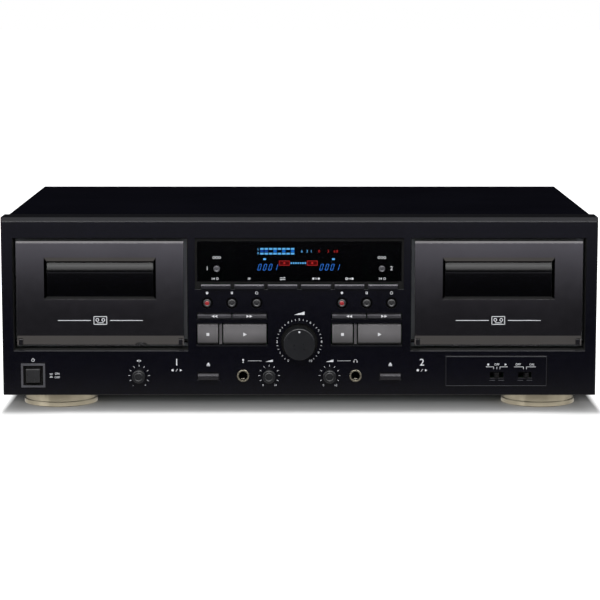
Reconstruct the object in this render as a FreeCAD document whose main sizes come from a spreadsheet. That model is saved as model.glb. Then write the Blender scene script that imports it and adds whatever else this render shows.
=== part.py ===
"""A double cassette deck, built piece by piece in millimetres.

The origin lies on the shelf under the middle of the deck: +X is to the right of the front face, +Y runs
back into the case and +Z is up. The driving sizes are cells of the spreadsheet. Every sketch, pad, pocket
and placement reads its size from there, and a depth is measured from the front face back into the case.
"""

import FreeCAD, Part
import os
from math import acos, atan2, cos, hypot, pi, sin
from types import SimpleNamespace

import Sketcher

SIZES = {
    # Front panel
    "column_width": 168.6,  # between the two doors
    "door_margin": 11.2,  # from a door to the panel's side
    "header_height": 17.1,  # from a door to the panel's top
    "foot_height": 14.1,  # from the shelf to the underside of the case
    "panel_depth": 26.0,  # depth of the front moulding
    "panel_wall": 2.5,  # wall of the moulding's rim
    "face_wall": 3.0,  # wall of the front face
    "bevel_height": 2.8,  # height of the bevel along the face's upper edge
    "bevel_depth": 3.0,  # depth of that bevel
    "edge_break": 0.6,  # chamfer under the face
    "corner_radius": 1.6,  # radius of the face's upright edges
    # Case
    "body_depth": 263.0,  # from the front face to the back of the cover
    "knob_reach": 14.0,  # how far the recording level knob stands out of the face
    "socket_reach": 8.0,  # how far the line sockets stand out behind the cover
    "case_step": 2.5,  # how much narrower the cover is on each side than the panel
    "sheet_thick": 1.0,  # thickness of the steel sheets
    "sheet_gap": 0.2,  # play between two sheets that are screwed together
    "cover_lip": 11.0,  # height of the cover's lip over the rear sheet
    "bend_radius": 1.6,  # outer radius of the cover's bends
    "base_flange": 30.0,  # height of the base tray's flanges
    "vent_length": 34.0,  # length of a vent in the base
    "vent_width": 3.4,  # width of a vent
    "vent_space": 5.6,  # strip left between two vents
    "vent_start": 88.0,  # from the face back to the vents
    "vent_middle": 62.0,  # from the middle to the first vent
    # Cassette doors
    "door_width": 122.0,  # width of a door
    "door_height": 76.6,  # height of a door
    "door_bottom": 51.3,  # from the shelf to a door
    "door_proud": 2.0,  # how far a door stands out of the face
    "door_plate": 3.0,  # thickness of a door's plate
    "door_bevel": 1.3,  # bevel along a door's upper edge
    "chin_height": 7.2,  # height of the slanting strip along a door's lower edge
    "chin_set": 4.0,  # how far that strip slants back
    "chin_wall": 1.8,  # thickness of that strip's lower edge
    "door_side_gap": 2.4,  # gap beside a door
    "door_top_gap": 1.7,  # gap above a door
    "door_low_gap": 3.2,  # gap under a door, which its lower edge swings into
    "opening_bevel": 1.3,  # slope under a door's opening
    "opening_edge": 0.5,  # slope along the opening's other sides
    "well_wall": 2.0,  # wall of the cassette well
    "well_depth": 15.0,  # depth of the cassette well
    "hinge_depth": 7.0,  # depth of a door's hinge
    "hinge_rise": 2.2,  # from a door's lower edge up to its hinge
    "hinge_lug": 4.2,  # height of a hinge lug
    "lug_thick": 4.0,  # thickness of a hinge lug
    "hinge_radius": 1.4,  # radius of a hinge pin
    "hinge_bite": 1.2,  # how far a hinge pin reaches into the well's wall
    "running_gap": 0.06,  # play between a shaft and its bore
    "glass_width": 77.8,  # width of a door's window
    "glass_height": 26.0,  # height of a door's window
    "glass_rise": 35.9,  # from a door's lower edge up to its window
    "glass_slope": 1.9,  # slope beside the window and under it
    "glass_brow": 2.8,  # slope above the window
    "glass_set": 1.3,  # how far the pane lies behind the door's front
    "pane_play": 0.15,  # play round a pane
    "pane_flange": 1.2,  # thickness of the pane's flange behind the door
    "pane_lap": 2.2,  # how far the flange laps over the door
    "pane_curve": 4.5,  # height of the pane's curved upper part
    "pane_drop": 1.2,  # how far the pane curves back there
    # Cassette guides on a door
    "tape_width": 100.4,  # width of a cassette
    "tape_edge": 8.7,  # thickness of a cassette at its edges
    "tape_play": 0.5,  # play round the cassette
    "tape_rise": 12.3,  # from a door's lower edge up to the cassette
    "tape_set": 2.6,  # from the face back to the cassette
    "guide_wall": 1.8,  # wall of a guide
    "guide_height": 50.0,  # height of a guide
    "guide_lip": 4.0,  # how far a guide's lip reaches behind the cassette
    "lug_reach": 14.0,  # width of the lugs that the cassette stands on
    # Transport
    "frame_sheet": 2.0,  # thickness of the transport's frame
    "frame_gap": 0.3,  # play between pieces that lie on each other
    "frame_lap": 2.0,  # how far the frame laps past the well's wall
    "frame_rim": 3.0,  # depth of the frame's rim
    "hub_spacing": 42.5,  # between the two reel spindles
    "hub_rise": 34.4,  # from the cassette's open side up to the spindles
    "hub_radius": 3.3,  # radius of a spindle
    "spline_reach": 1.4,  # how far a spindle's splines stand out
    "spline_width": 1.2,  # width of a spline
    "spline_count": 3,  # splines on a spindle
    "hub_tip": 7.0,  # from the face back to a spindle's tip
    "hub_nose": 1.6,  # length of a spindle's plain nose
    "hub_shaft": 1.5,  # radius of a spindle's shaft
    "bearing_side": 6.4,  # side of a bearing block
    "bearing_length": 5.0,  # length of a bearing block
    "capstan_offset": 27.0,  # from the deck's middle to its capstan
    "capstan_rise": 6.4,  # from the cassette's open side up to the capstan
    "capstan_radius": 1.1,  # radius of the capstan
    "capstan_tip": 4.0,  # from the face back to the capstan's tip
    "wheel_radius": 23.0,  # radius of the flywheel
    "wheel_thick": 5.0,  # thickness of the flywheel
    "motor_radius": 15.5,  # radius of the motor
    "motor_length": 24.0,  # length of the motor
    "motor_offset": 26.0,  # from the deck's middle to the motor
    "motor_drop": 14.0,  # how far the motor lies under the spindles
    "motor_shaft": 1.0,  # radius of the motor's shaft
    "pulley_radius": 4.0,  # radius of the motor's pulley
    "bracket_sheet": 1.5,  # thickness of the bracket that carries the motor
    "bracket_margin": 8.0,  # how far the bracket reaches past motor and flywheel
    "post_side": 4.8,  # side of the bracket's posts
    # Heads
    "head_travel": 5.0,  # how far the heads rise to play
    "head_drop": 1.0,  # how far the resting heads lie under the cassette
    "head_sheet": 1.4,  # thickness of the head plate
    "head_width": 13.0,  # width of the recording head
    "head_height": 4.8,  # height of the heads
    "head_depth": 9.0,  # depth of the heads
    "erase_width": 8.0,  # width of the erase head
    "head_space": 6.0,  # space between the two heads
    "plate_reach": 3.0,  # how far the head plate reaches past the erase head
    "plate_rise": 2.8,  # from the pinch roller's pin up to the head plate's edge
    "guide_pin": 3.2,  # side of the pins that guide the head plate
    "roller_radius": 5.5,  # radius of the pinch roller
    "roller_length": 6.0,  # length of the pinch roller
    "roller_pin": 1.0,  # radius of the pinch roller's pin
    "pinch_gap": 0.15,  # gap left between roller and capstan in play
    # Display
    "display_width": 149.2,  # width of the display window
    "display_height": 29.6,  # height of the display window
    "display_rise": 1.6,  # from the small keys up to the window
    "display_side": 1.6,  # width of the sunk border beside the window
    "display_brow": 2.4,  # height of the sunk border above the window
    "display_sink": 0.8,  # depth of that border
    "display_pane": 2.0,  # thickness of the window
    "display_ledge": 1.2,  # thickness of the ledge behind the window
    "ledge_reach": 1.0,  # how far that ledge reaches behind the window
    "tube_width": 92.0,  # width of the display tube
    "tube_height": 23.0,  # height of the display tube
    "tube_depth": 7.0,  # depth of the display tube
    "tube_gap": 1.0,  # gap between the tube and the window
    # Push keys
    "key_gap": 0.6,  # gap round a key
    "key_travel": 1.2,  # how far a key moves when pressed
    "key_collar": 1.2,  # thickness of the collar that keeps a key in
    "collar_reach": 0.7,  # how far a collar reaches past its hole
    "stem_side": 2.2,  # side of a key's stem
    "small_width": 21.3,  # width of a key under the display
    "small_height": 3.4,  # height of a key under the display
    "small_space": 3.1,  # space between those keys
    "small_rise": 7.35,  # from the round buttons up to those keys
    "small_proud": 2.0,  # how far those keys stand out
    "small_bevel": 1.0,  # bevel along those keys' upper edge
    "reset_radius": 2.45,  # radius of a counter reset button
    "reset_inset": 14.4,  # from the window's end to a counter reset button
    "reset_rise": 9.7,  # from the window's lower edge up to the reset buttons
    "reset_proud": 1.6,  # how far a counter reset button stands out
    "group_inner": 24.1,  # from the middle to a group of keys
    "round_radius": 3.15,  # radius of a round button
    "round_gap": 1.05,  # gap round a round button
    "round_pitch": 18.1,  # spacing of the round buttons
    "round_rise": 5.1,  # from the winding keys up to the round buttons
    "round_proud": 1.8,  # how far a round button stands out
    "wind_height": 2.9,  # height of a winding key
    "wind_split": 0.9,  # gap between the two winding keys
    "wind_rise": 4.7,  # from the play keys up to the winding keys
    "wind_proud": 1.6,  # how far a winding key stands out
    "wind_bevel": 1.0,  # bevel along a winding key's upper edge
    "play_bottom": 52.35,  # from the shelf to the stop and play keys
    "play_height": 14.3,  # height of those keys
    "play_width": 31.4,  # width of a play key
    "stop_width": 14.9,  # width of a stop key
    "play_proud": 2.2,  # how far those keys stand out
    "play_bevel": 1.0,  # bevel along those keys' lower edge
    "play_gap": 0.85,  # gap round those keys
    "rib_width": 2.2,  # width of the rib between stop and play
    # Lower row
    "row_level": 28.7,  # from the shelf to the lower row of controls
    "eject_drop": 0.6,  # how far the eject keys lie under that row
    "eject_offset": 66.7,  # from the middle to an eject key
    "eject_width": 14.9,  # width of an eject key
    "eject_height": 4.4,  # height of an eject key
    "eject_proud": 3.0,  # how far an eject key stands out
    "eject_bevel": 1.4,  # bevel along an eject key's upper edge
    "eject_travel": 2.0,  # how far an eject key moves
    "power_inset": 22.3,  # from the panel's side to the power button
    "power_frame": 17.8,  # side of the frame round the power button
    "power_edge": 1.7,  # width of that frame
    "frame_proud": 0.6,  # how far that frame stands out
    "power_sink": 1.6,  # depth of the recess in that frame
    "power_side": 10.2,  # side of the power button
    "power_proud": 2.4,  # how far the power button stands out
    "power_travel": 3.0,  # how far the power button moves
    "power_bevel": 0.5,  # bevel round the power button
    "jack_offset": 41.2,  # from the middle to a jack
    "jack_bore": 3.2,  # radius of a jack's bore
    "jack_barrel": 3.9,  # radius of a jack's barrel
    "jack_collar": 4.4,  # radius of a jack's collar
    "jack_proud": 1.6,  # how far a collar stands out
    "jack_length": 17.0,  # length of a jack behind the face
    "jack_wall": 1.6,  # wall of a jack's body
    # Knobs
    "knob_level": 53.7,  # from the shelf to the recording level knob
    "knob_radius": 11.3,  # radius of that knob
    "knob_dish": 2.3,  # how much wider the dish is than that knob
    "knob_shaft": 3.0,  # radius of that knob's shaft
    "pointer_radius": 0.75,  # radius of the knob's pointer
    "pointer_inset": 2.1,  # from the knob's edge to its pointer
    "pointer_depth": 0.3,  # depth of the pointer's dimple
    "trim_offset": 22.15,  # from the middle to a small level knob
    "pitch_offset": 117.5,  # from the middle to the pitch knob
    "trim_radius": 4.5,  # radius of a small knob
    "trim_reach": 7.6,  # how far a small knob stands out
    "trim_shaft": 2.0,  # radius of a small knob's shaft
    "trim_mark": 0.7,  # width of a small knob's pointer
    "dish_depth": 1.3,  # depth of the dish round the recording level knob
    "knob_float": 0.7,  # gap between a knob and the face
    "shaft_play": 0.3,  # play of a shaft in the face
    "shaft_bite": 3.0,  # how far a shaft reaches into its potentiometer
    # Slide switches
    "plate_left": 107.0,  # from the middle to the raised switch plate
    "plate_width": 74.6,  # width of that plate
    "plate_low": 20.8,  # from the shelf to that plate
    "switch_plate": 22.3,  # height of that plate
    "plate_proud": 0.4,  # how far that plate stands out
    "switch_rise": 0.4,  # how far the slots lie above the lower row
    "timer_offset": 144.8,  # from the middle to the timer switch
    "noise_offset": 165.4,  # from the middle to the noise reduction switch
    "slot_width": 9.9,  # width of a switch's slot
    "slot_height": 4.4,  # height of a switch's slot
    "lever_width": 2.8,  # width of a switch's lever
    "lever_height": 3.2,  # height of a switch's lever
    "lever_proud": 1.0,  # how far a lever stands out
    "lever_plate": 1.0,  # thickness of the plate behind a lever
    "lever_groove": 0.5,  # depth of the grooves across a lever
    "noise_shift": 1.3,  # from the slot's middle to the noise switch's rest
    # Boards
    "board_thick": 1.6,  # thickness of the circuit boards
    "board_depth": 19.0,  # from the face back to the control board
    "board_gap": 1.5,  # gap between the control board and the frames
    "board_foot": 3.0,  # from the moulding's rim up to the control board
    "switch_side": 6.0,  # side of a push switch
    "switch_depth": 4.0,  # depth of a push switch
    "switch_gap": 0.3,  # gap between a pressed key's stem and its switch
    "pot_side": 16.0,  # side of the recording level potentiometer
    "small_pot": 11.0,  # side of a small potentiometer
    "pot_depth": 7.0,  # depth of a potentiometer
    "main_width": 210.0,  # width of the main board
    "main_length": 120.0,  # length of the main board
    "main_offset": -70.0,  # from the middle to the main board's middle
    "main_back": 8.0,  # from the main board to the rear sheet
    "main_rise": 8.0,  # height of the main board over the base
    "stand_side": 6.0,  # side of a stand-off
    "stand_inset": 8.0,  # from a board's edge to its stand-offs
    "core_width": 62.0,  # width of the mains transformer's core
    "core_length": 26.0,  # thickness of the core
    "core_height": 52.0,  # height of the core
    "coil_reach": 11.0,  # how far the winding stands out of the core
    "coil_inset": 10.0,  # how far the winding is narrower than the core
    "core_offset": 110.0,  # from the middle to the mains transformer
    "core_back": 60.0,  # from the transformer to the rear sheet
    "can_radius": 9.0,  # radius of a filter capacitor
    "can_height": 32.0,  # height of a filter capacitor
    "can_pitch": 24.0,  # spacing of the filter capacitors
    # Underside
    "foot_radius": 27.5,  # radius of a foot
    "foot_inset": 37.2,  # from the panel's side to a foot's middle
    "foot_front": 52.0,  # from the face back to the front feet
    "foot_rear": 50.0,  # from the rear feet to the back of the cover
    "foot_taper": 0.5,  # how much narrower a foot is above its lower band
    "foot_band": 3.0,  # height of that band
    "foot_peg": 8.0,  # side of the peg that holds a foot in the base
    "pad_radius": 24.0,  # radius of a foot's rubber pad
    "pad_thick": 1.0,  # thickness of that pad
    # Rear
    "line_radius": 4.15,  # radius of a line socket
    "line_bore": 1.65,  # radius of the hole in a line socket
    "line_depth": 9.0,  # depth of that hole
    "line_margin": 5.6,  # from a socket's middle to the edge of its plate
    "port_proud": 0.8,  # how far socket plates and data port stand out of the rear sheet
    "line_pitch": 14.0,  # spacing of the line sockets
    "line_level": 94.0,  # from the shelf to the line sockets
    "line_first": 128.0,  # from the middle to the first deck's sockets
    "line_second": 76.0,  # from the middle to the second deck's sockets
    "block_edge": 1.4,  # how far a socket block laps behind the rear sheet
    "block_depth": 12.0,  # depth of a socket block
    "port_offset": 176.0,  # from the middle to the data port
    "port_level": 94.0,  # from the shelf to the data port
    "port_width": 12.0,  # width of the data port
    "port_height": 11.0,  # height of the data port
    "port_wall": 1.5,  # wall of the data port
    "port_tongue": 1.6,  # half the height of the data port's tongue
    "port_depth": 9.0,  # depth of the data port
    "inlet_offset": 172.0,  # from the middle to the mains inlet
    "inlet_level": 52.0,  # from the shelf to the mains inlet
    "inlet_pitch": 8.6,  # spacing of the inlet's pins
    "inlet_round": 4.3,  # radius of the inlet's rounded ends
    "inlet_depth": 12.5,  # depth of the inlet
    "inlet_wall": 2.0,  # wall of the inlet
    "inlet_flange": 3.0,  # how far the inlet's flange laps over the sheet
    "flange_thick": 1.5,  # thickness of that flange
    "pin_radius": 1.2,  # radius of the inlet's pins
    "pin_sink": 2.0,  # how far the pins lie inside the inlet's mouth
    "cutout_play": 0.3,  # play round what passes through the rear sheet
    # Screws
    "screw_head": 3.8,  # radius of a screw's head
    "head_thick": 1.8,  # thickness of that head
    "screw_shank": 1.9,  # radius of a screw's shank
    "screw_length": 6.0,  # length of that shank
    "screw_play": 0.2,  # play of a screw in the sheets
    "side_screw": 34.0,  # from the shelf to the side screws
    "side_front": 78.0,  # from the face back to the front side screws
    "side_rear": 55.0,  # from the rear side screws to the back of the cover
}


class Size:
    """A number together with the expression that works it out from the sheet."""

    def __init__(self, value, text):
        self.value = float(value)
        self.text = text

    def __add__(self, other):
        other = sized(other)
        return Size(self.value + other.value, f"({self.text} + {other.text})")

    def __radd__(self, other):
        return sized(other) + self

    def __sub__(self, other):
        other = sized(other)
        return Size(self.value - other.value, f"({self.text} - {other.text})")

    def __rsub__(self, other):
        return sized(other) - self

    def __mul__(self, other):
        other = sized(other)
        return Size(self.value * other.value, f"({self.text} * {other.text})")

    def __rmul__(self, other):
        return sized(other) * self

    def __truediv__(self, other):
        other = sized(other)
        return Size(self.value / other.value, f"({self.text} / {other.text})")

    def __neg__(self):
        return Size(-self.value, f"(-1 * {self.text})")


def sized(number):
    """The number as a Size, whatever it was."""
    return number if isinstance(number, Size) else Size(number, f"({float(number)!r})")


doc = FreeCAD.newDocument("cassette_deck")
sheet = doc.addObject("Spreadsheet::Sheet", "Sizes")
for row, (alias, number) in enumerate(SIZES.items(), start=1):
    sheet.set(f"A{row}", alias)
    sheet.set(f"B{row}", str(number))
    sheet.setAlias(f"B{row}", alias)
doc.recompute()
S = SimpleNamespace(**{alias: Size(sheet.get(alias), f"Sizes.{alias}") for alias in SIZES})

# Places worked out from the sizes

face_y = (S.knob_reach - S.body_depth - S.socket_reach) / 2
door_x = (S.column_width + S.door_width) / 2
face_half = S.column_width / 2 + S.door_width + S.door_margin
case_half = face_half - S.case_step
door_top = S.door_bottom + S.door_height
top = door_top + S.header_height
well_half = S.door_width / 2 + S.door_side_gap
well_low = S.door_bottom - S.door_low_gap
well_top = door_top + S.door_top_gap
door_back = S.door_plate - S.door_proud
hinge_level = S.door_bottom + S.hinge_rise
glass_low = S.door_bottom + S.glass_rise
tape_low = S.door_bottom + S.tape_rise
tape_back = S.tape_set + S.tape_edge + S.tape_play
frame_front = S.well_depth + S.frame_gap
frame_back = frame_front + S.frame_sheet
frame_half = well_half + S.well_wall + S.frame_lap
hub_level = tape_low + S.hub_rise
capstan_level = tape_low + S.capstan_rise
bearing_back = frame_back + S.bearing_length
wheel_front = bearing_back + S.frame_gap
wheel_back = wheel_front + S.wheel_thick
bracket_front = wheel_back + S.frame_gap
bracket_back = bracket_front + S.bracket_sheet
motor_level = hub_level - S.motor_drop
head_back = frame_front - S.frame_gap
head_front = head_back - S.head_sheet
head_top = tape_low - S.head_drop
head_low = head_top - S.head_height
tape_middle = S.tape_set + S.tape_edge / 2
roller_level = capstan_level - S.capstan_radius - S.roller_radius - S.pinch_gap - S.head_travel
group_width = S.stop_width + S.rib_width + 2 * S.play_gap + S.play_width
group_x = S.group_inner + group_width / 2
wind_low = S.play_bottom + S.play_height + S.wind_rise
wind_width = (group_width - S.wind_split) / 2
round_level = wind_low + S.wind_height + S.round_rise + S.round_radius
small_low = round_level + S.round_radius + S.small_rise
small_pitch = S.small_width + S.small_space
display_half = S.display_width / 2
display_low = small_low + S.small_height + S.display_rise
display_top = display_low + S.display_height
border_half = display_half + S.display_side
pane_back = S.display_sink + S.display_pane
reset_x = display_half - S.reset_inset
reset_level = display_low + S.reset_rise
power_x = S.power_inset - face_half
collar_front = S.face_wall + S.frame_gap
collar_back = collar_front + S.key_collar
cover_front = S.panel_depth + S.sheet_gap
base_half = case_half - S.sheet_thick - S.sheet_gap
base_top = S.foot_height + S.sheet_thick
rear_half = base_half - S.sheet_thick - S.sheet_gap
rear_back = S.body_depth - S.sheet_thick - S.sheet_gap
rear_front = rear_back - S.sheet_thick
board_back = S.board_depth + S.board_thick
foot_x = face_half - S.foot_inset
foot_back = S.body_depth - S.foot_rear

side_back = S.body_depth - S.side_rear
rear_high = top - S.sheet_thick - S.sheet_gap
vent_pitch = S.vent_width + S.vent_space
roller_front = tape_middle - S.roller_length / 2
roller_back = tape_middle + S.roller_length / 2
heads_front = tape_middle - S.head_depth / 2
shelf_left = -(S.head_width / 2 + S.head_space + S.erase_width + S.plate_reach)
shelf_right = S.head_width / 2 + S.plate_reach
pin_reach = S.plate_reach + S.guide_pin / 2
pin_places = (shelf_left - pin_reach, shelf_right + pin_reach)
plate_left = pin_places[0] - pin_reach
plate_low = well_low + 2 * S.frame_gap
plate_high = roller_level + S.plate_rise
slot_low = plate_low + S.plate_reach - S.guide_pin / 2
inlet_width = S.inlet_pitch + 2 * (S.inlet_round + S.inlet_wall)
inlet_height = 2 * (S.inlet_round + S.inlet_wall)
socket_side = S.line_pitch + 2 * S.line_margin

DECKS = {"left": -door_x, "right": door_x}
GROUPS = {"left": -group_x, "right": group_x}
foot_places = [(x, depth) for x in (-foot_x, foot_x) for depth in (S.foot_front, foot_back)]
line_blocks = {"first_sockets": -S.line_first, "second_sockets": -S.line_second}
VENTS = 7
CANS = 2


def ordered(first, second):
    """The two sizes with the smaller one first."""
    return (first, second) if first.value < second.value else (second, first)


def place(item, x=0, y=0, z=0, turn=None):
    """Puts an object at a place that the sheet decides, turned as given."""
    if turn is not None:
        item.Placement = FreeCAD.Placement(FreeCAD.Vector(), turn)
    for axis, size in (("x", x), ("y", y), ("z", z)):
        item.setExpression(f"Placement.Base.{axis}", sized(size).text)


class Drawing:
    """A sketch on one of a body's planes, held by the sheet's sizes.

    On the front plane it shows x and height, on the floor plane x and depth, and on the side plane
    depth and height. It lies `start` along the axis that the plane faces.
    """

    ROLES = {"front": "XZ_Plane", "floor": "XY_Plane", "side": "YZ_Plane"}

    def __init__(self, body, plane, start):
        self.plane = plane
        self.start = sized(start)
        self.sketch = body.newObject("Sketcher::SketchObject", f"{body.Label}_sketch")
        origin = next(item for item in body.Origin.OriginFeatures if item.Role == self.ROLES[plane])
        self.sketch.AttachmentSupport = [(origin, "")]
        self.sketch.MapMode = "FlatFace"
        offset = -self.start if plane == "front" else self.start
        self.sketch.setExpression("AttachmentOffset.Base.z", offset.text)

    def hold(self, kind, *where, size):
        """Ties a distance in the sketch to a size."""
        index = self.sketch.addConstraint(Sketcher.Constraint(kind, *where, size.value))
        self.sketch.setExpression(f"Constraints[{index}]", size.text)

    def hold_point(self, edge, end, point):
        """Ties one point of an edge to its place in the sketch."""
        self.hold("DistanceX", -1, 1, edge, end, size=point[0])
        self.hold("DistanceY", -1, 1, edge, end, size=point[1])

    def polygon(self, points):
        """Draws a closed outline through the points."""
        points = [(sized(x), sized(y)) for x, y in points]
        corners = [FreeCAD.Vector(x.value, y.value, 0) for x, y in points]
        lines = [Part.LineSegment(a, b) for a, b in zip(corners, corners[1:] + corners[:1])]
        edges = self.sketch.addGeometry(lines, False)
        for edge, following in zip(edges, edges[1:] + edges[:1]):
            self.sketch.addConstraint(Sketcher.Constraint("Coincident", edge, 2, following, 1))
        for edge, point in zip(edges, points):
            self.hold_point(edge, 1, point)
        return self

    def rectangle(self, left, low, right, high):
        """Draws a rectangle between two opposite corners."""
        return self.polygon([(left, low), (right, low), (right, high), (left, high)])

    def block(self, x, y, width, height):
        """Draws a rectangle round a middle point."""
        return self.rectangle(x - width / 2, y - height / 2, x + width / 2, y + height / 2)

    def circle(self, x, y, radius):
        """Draws a circle."""
        x, y, radius = sized(x), sized(y), sized(radius)
        middle = FreeCAD.Vector(x.value, y.value, 0)
        edge = self.sketch.addGeometry(Part.Circle(middle, FreeCAD.Vector(0, 0, 1), radius.value), False)
        self.hold_point(edge, 3, (x, y))
        self.hold("Radius", edge, size=radius)
        return self

    def pane(self, front, back, low, high, curve, drop):
        """Draws a pane's section: upright at the front, and curved back at the top."""
        front, back, low, high, curve, drop = [sized(size) for size in (front, back, low, high, curve, drop)]
        points = [(front, low), (front, high - curve), (front + drop, high), (back, high), (back, low)]
        corners = [FreeCAD.Vector(x.value, y.value, 0) for x, y in points]
        radius = (curve.value**2 + drop.value**2) / (2 * drop.value)
        round_line = Part.Circle(corners[1] + FreeCAD.Vector(radius, 0, 0), FreeCAD.Vector(0, 0, 1), radius)
        bend = Part.ArcOfCircle(round_line, pi - acos((radius - drop.value) / radius), pi)
        lines = [Part.LineSegment(corners[a], corners[b]) for a, b in ((0, 1), (2, 3), (3, 4), (4, 0))]
        face, roof, rear, floor, arc = self.sketch.addGeometry(lines + [bend], False)
        joined = [("Tangent", face, 2, arc, 2), ("Coincident", arc, 1, roof, 1), ("Coincident", roof, 2, rear, 1)]
        joined += [("Coincident", rear, 2, floor, 1), ("Coincident", floor, 2, face, 1)]
        for kind, *ends in joined:
            self.sketch.addConstraint(Sketcher.Constraint(kind, *ends))
        held = [(face, 1), (face, 2), (roof, 1), (rear, 1), (floor, 1)]
        for (edge, end), point in zip(held, points):
            self.hold_point(edge, end, point)
        return self

    def loop(self, first, second):
        """Draws a closed loop, like a taut belt, round two circles given as x, y and radius."""
        first = [sized(size) for size in first]
        second = [sized(size) for size in second]
        across = second[0].value - first[0].value
        along = second[1].value - first[1].value
        lean = atan2(along, across)
        spread = acos((first[2].value - second[2].value) / hypot(across, along))

        def arc(circle, start, end):
            middle = FreeCAD.Vector(circle[0].value, circle[1].value, 0)
            round_line = Part.Circle(middle, FreeCAD.Vector(0, 0, 1), circle[2].value)
            return Part.ArcOfCircle(round_line, start, end)

        def touch(circle, angle):
            return FreeCAD.Vector(
                circle[0].value + circle[2].value * cos(angle), circle[1].value + circle[2].value * sin(angle), 0
            )

        parts = [
            arc(first, lean + spread, lean - spread + 2 * pi),
            Part.LineSegment(touch(first, lean - spread), touch(second, lean - spread)),
            arc(second, lean - spread, lean + spread),
            Part.LineSegment(touch(second, lean + spread), touch(first, lean + spread)),
        ]
        edges = self.sketch.addGeometry(parts, False)
        for edge, following in zip(edges, edges[1:] + edges[:1]):
            self.sketch.addConstraint(Sketcher.Constraint("Tangent", edge, 2, following, 1))
        for edge, circle in ((edges[0], first), (edges[2], second)):
            self.hold_point(edge, 3, circle)
            self.hold("Radius", edge, size=circle[2])
        return self


class Piece:
    """A body that is built up feature by feature."""

    def __init__(self, label, x=0, y=0, z=0, turn=None):
        self.body = doc.addObject("PartDesign::Body", label)
        self.body.Label = label
        place(self.body, x, y, z, turn)

    def draw(self, plane, start=0):
        """Starts a sketch on one of the body's planes."""
        return Drawing(self.body, plane, start)

    def feature(self, kind, drawing=None):
        """Adds a feature to the body, made from a sketch where it has one."""
        item = self.body.newObject(f"PartDesign::{kind}", f"{self.body.Label}_{kind.lower()}")
        if drawing is not None:
            item.Profile = drawing.sketch
        return item

    def pad(self, drawing, end):
        """Adds what lies behind a sketch, up to the given place."""
        item = self.feature("Pad", drawing)
        item.Reversed = drawing.plane == "front"
        item.setExpression("Length", (sized(end) - drawing.start).text)
        doc.recompute()
        return item

    def cut(self, drawing, end):
        """Takes away what lies behind a sketch, up to the given place."""
        before = self.body.Tip.Shape.Volume
        item = self.feature("Pocket", drawing)
        item.Reversed = drawing.plane != "front"
        item.setExpression("Length", (sized(end) - drawing.start).text)
        doc.recompute()
        if item.Shape.Volume > before - 1e-6:
            raise ValueError(f"{item.Label} cut nothing")
        return item

    def slope(self, wide, narrow):
        """Takes away a funnel between two sketches."""
        item = self.feature("SubtractiveLoft", wide)
        item.Sections = [narrow.sketch]
        doc.recompute()
        return item

    def spin(self, drawing):
        """Adds what a sketch sweeps when it is spun round its upright axis."""
        item = self.feature("Revolution", drawing)
        item.ReferenceAxis = (drawing.sketch, ["V_Axis"])
        item.Angle = 360
        doc.recompute()
        return item

    def edges(self, **levels):
        """Names of the edges that lie wholly at the given places, such as y=size."""
        names = []
        for number, edge in enumerate(self.body.Tip.Shape.Edges, start=1):
            box = edge.BoundBox
            spans = {"x": (box.XMin, box.XMax), "y": (box.YMin, box.YMax), "z": (box.ZMin, box.ZMax)}
            flat = all(abs(end - sized(size).value) < 1e-4 for axis, size in levels.items() for end in spans[axis])
            if flat:
                names.append(f"Edge{number}")
        return names

    def soften(self, kind, size, names):
        """Rounds or bevels the named edges."""
        base = self.body.Tip
        item = self.feature(kind)
        item.Base = (base, names)
        item.setExpression("Radius" if kind == "Fillet" else "Size", size.text)
        doc.recompute()
        return item

    def repeat(self, original, drawing, axis, spacing, count):
        """Repeats a feature in a row along one of a sketch's axes."""
        item = self.feature("LinearPattern")
        item.Originals = [original]
        item.Direction = (drawing.sketch, [axis])
        item.Mode = "Spacing"
        item.setExpression("Offset", spacing.text)
        item.Occurrences = count
        self.body.Tip = item
        doc.recompute()
        return item


def solid_box(name, x, y, z, width, depth, height):
    """A plain block that stands at its left, front and lower corner."""
    item = doc.addObject("Part::Box", name)
    for side, size in (("Length", width), ("Width", depth), ("Height", height)):
        item.setExpression(side, sized(size).text)
    place(item, x, y, z)
    return item


def solid_rod(name, x, y, z, radius, length, turn=None):
    """A plain round bar that starts at the given place and runs up, or as it is turned."""
    item = doc.addObject("Part::Cylinder", name)
    item.setExpression("Radius", sized(radius).text)
    item.setExpression("Height", sized(length).text)
    place(item, x, y, z, turn)
    return item


def group(label, members):
    """Several separate solids under one name."""
    item = doc.addObject("Part::Compound", label)
    item.Label = label
    item.Links = members
    return item


BACKWARD = FreeCAD.Rotation(FreeCAD.Vector(1, 0, 0), -90)


def key(label, x, low, width, height, proud, bevel, **rest):
    """What is known of a push key. Its collar holds it across, upright or on both ways."""
    facts = {"travel": S.key_travel, "gap": S.key_gap, "held": "upright"}
    facts.update(rest)
    middle = low + height / 2
    return SimpleNamespace(label=label, x=x, z=middle, width=width, height=height, proud=proud, bevel=bevel, **facts)


def display_keys():
    """The six keys under the display."""
    names = ("left_return_key", "dimmer_key", "repeat_key", "parallel_key", "dub_key", "right_return_key")
    keys = []
    for number, name in enumerate(names):
        x = small_pitch * (number - (len(names) - 1) / 2)
        bevel = ("upper", S.small_bevel)
        keys.append(key(name, x, small_low, S.small_width, S.small_height, S.small_proud, bevel, held="across"))
    return keys


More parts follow.
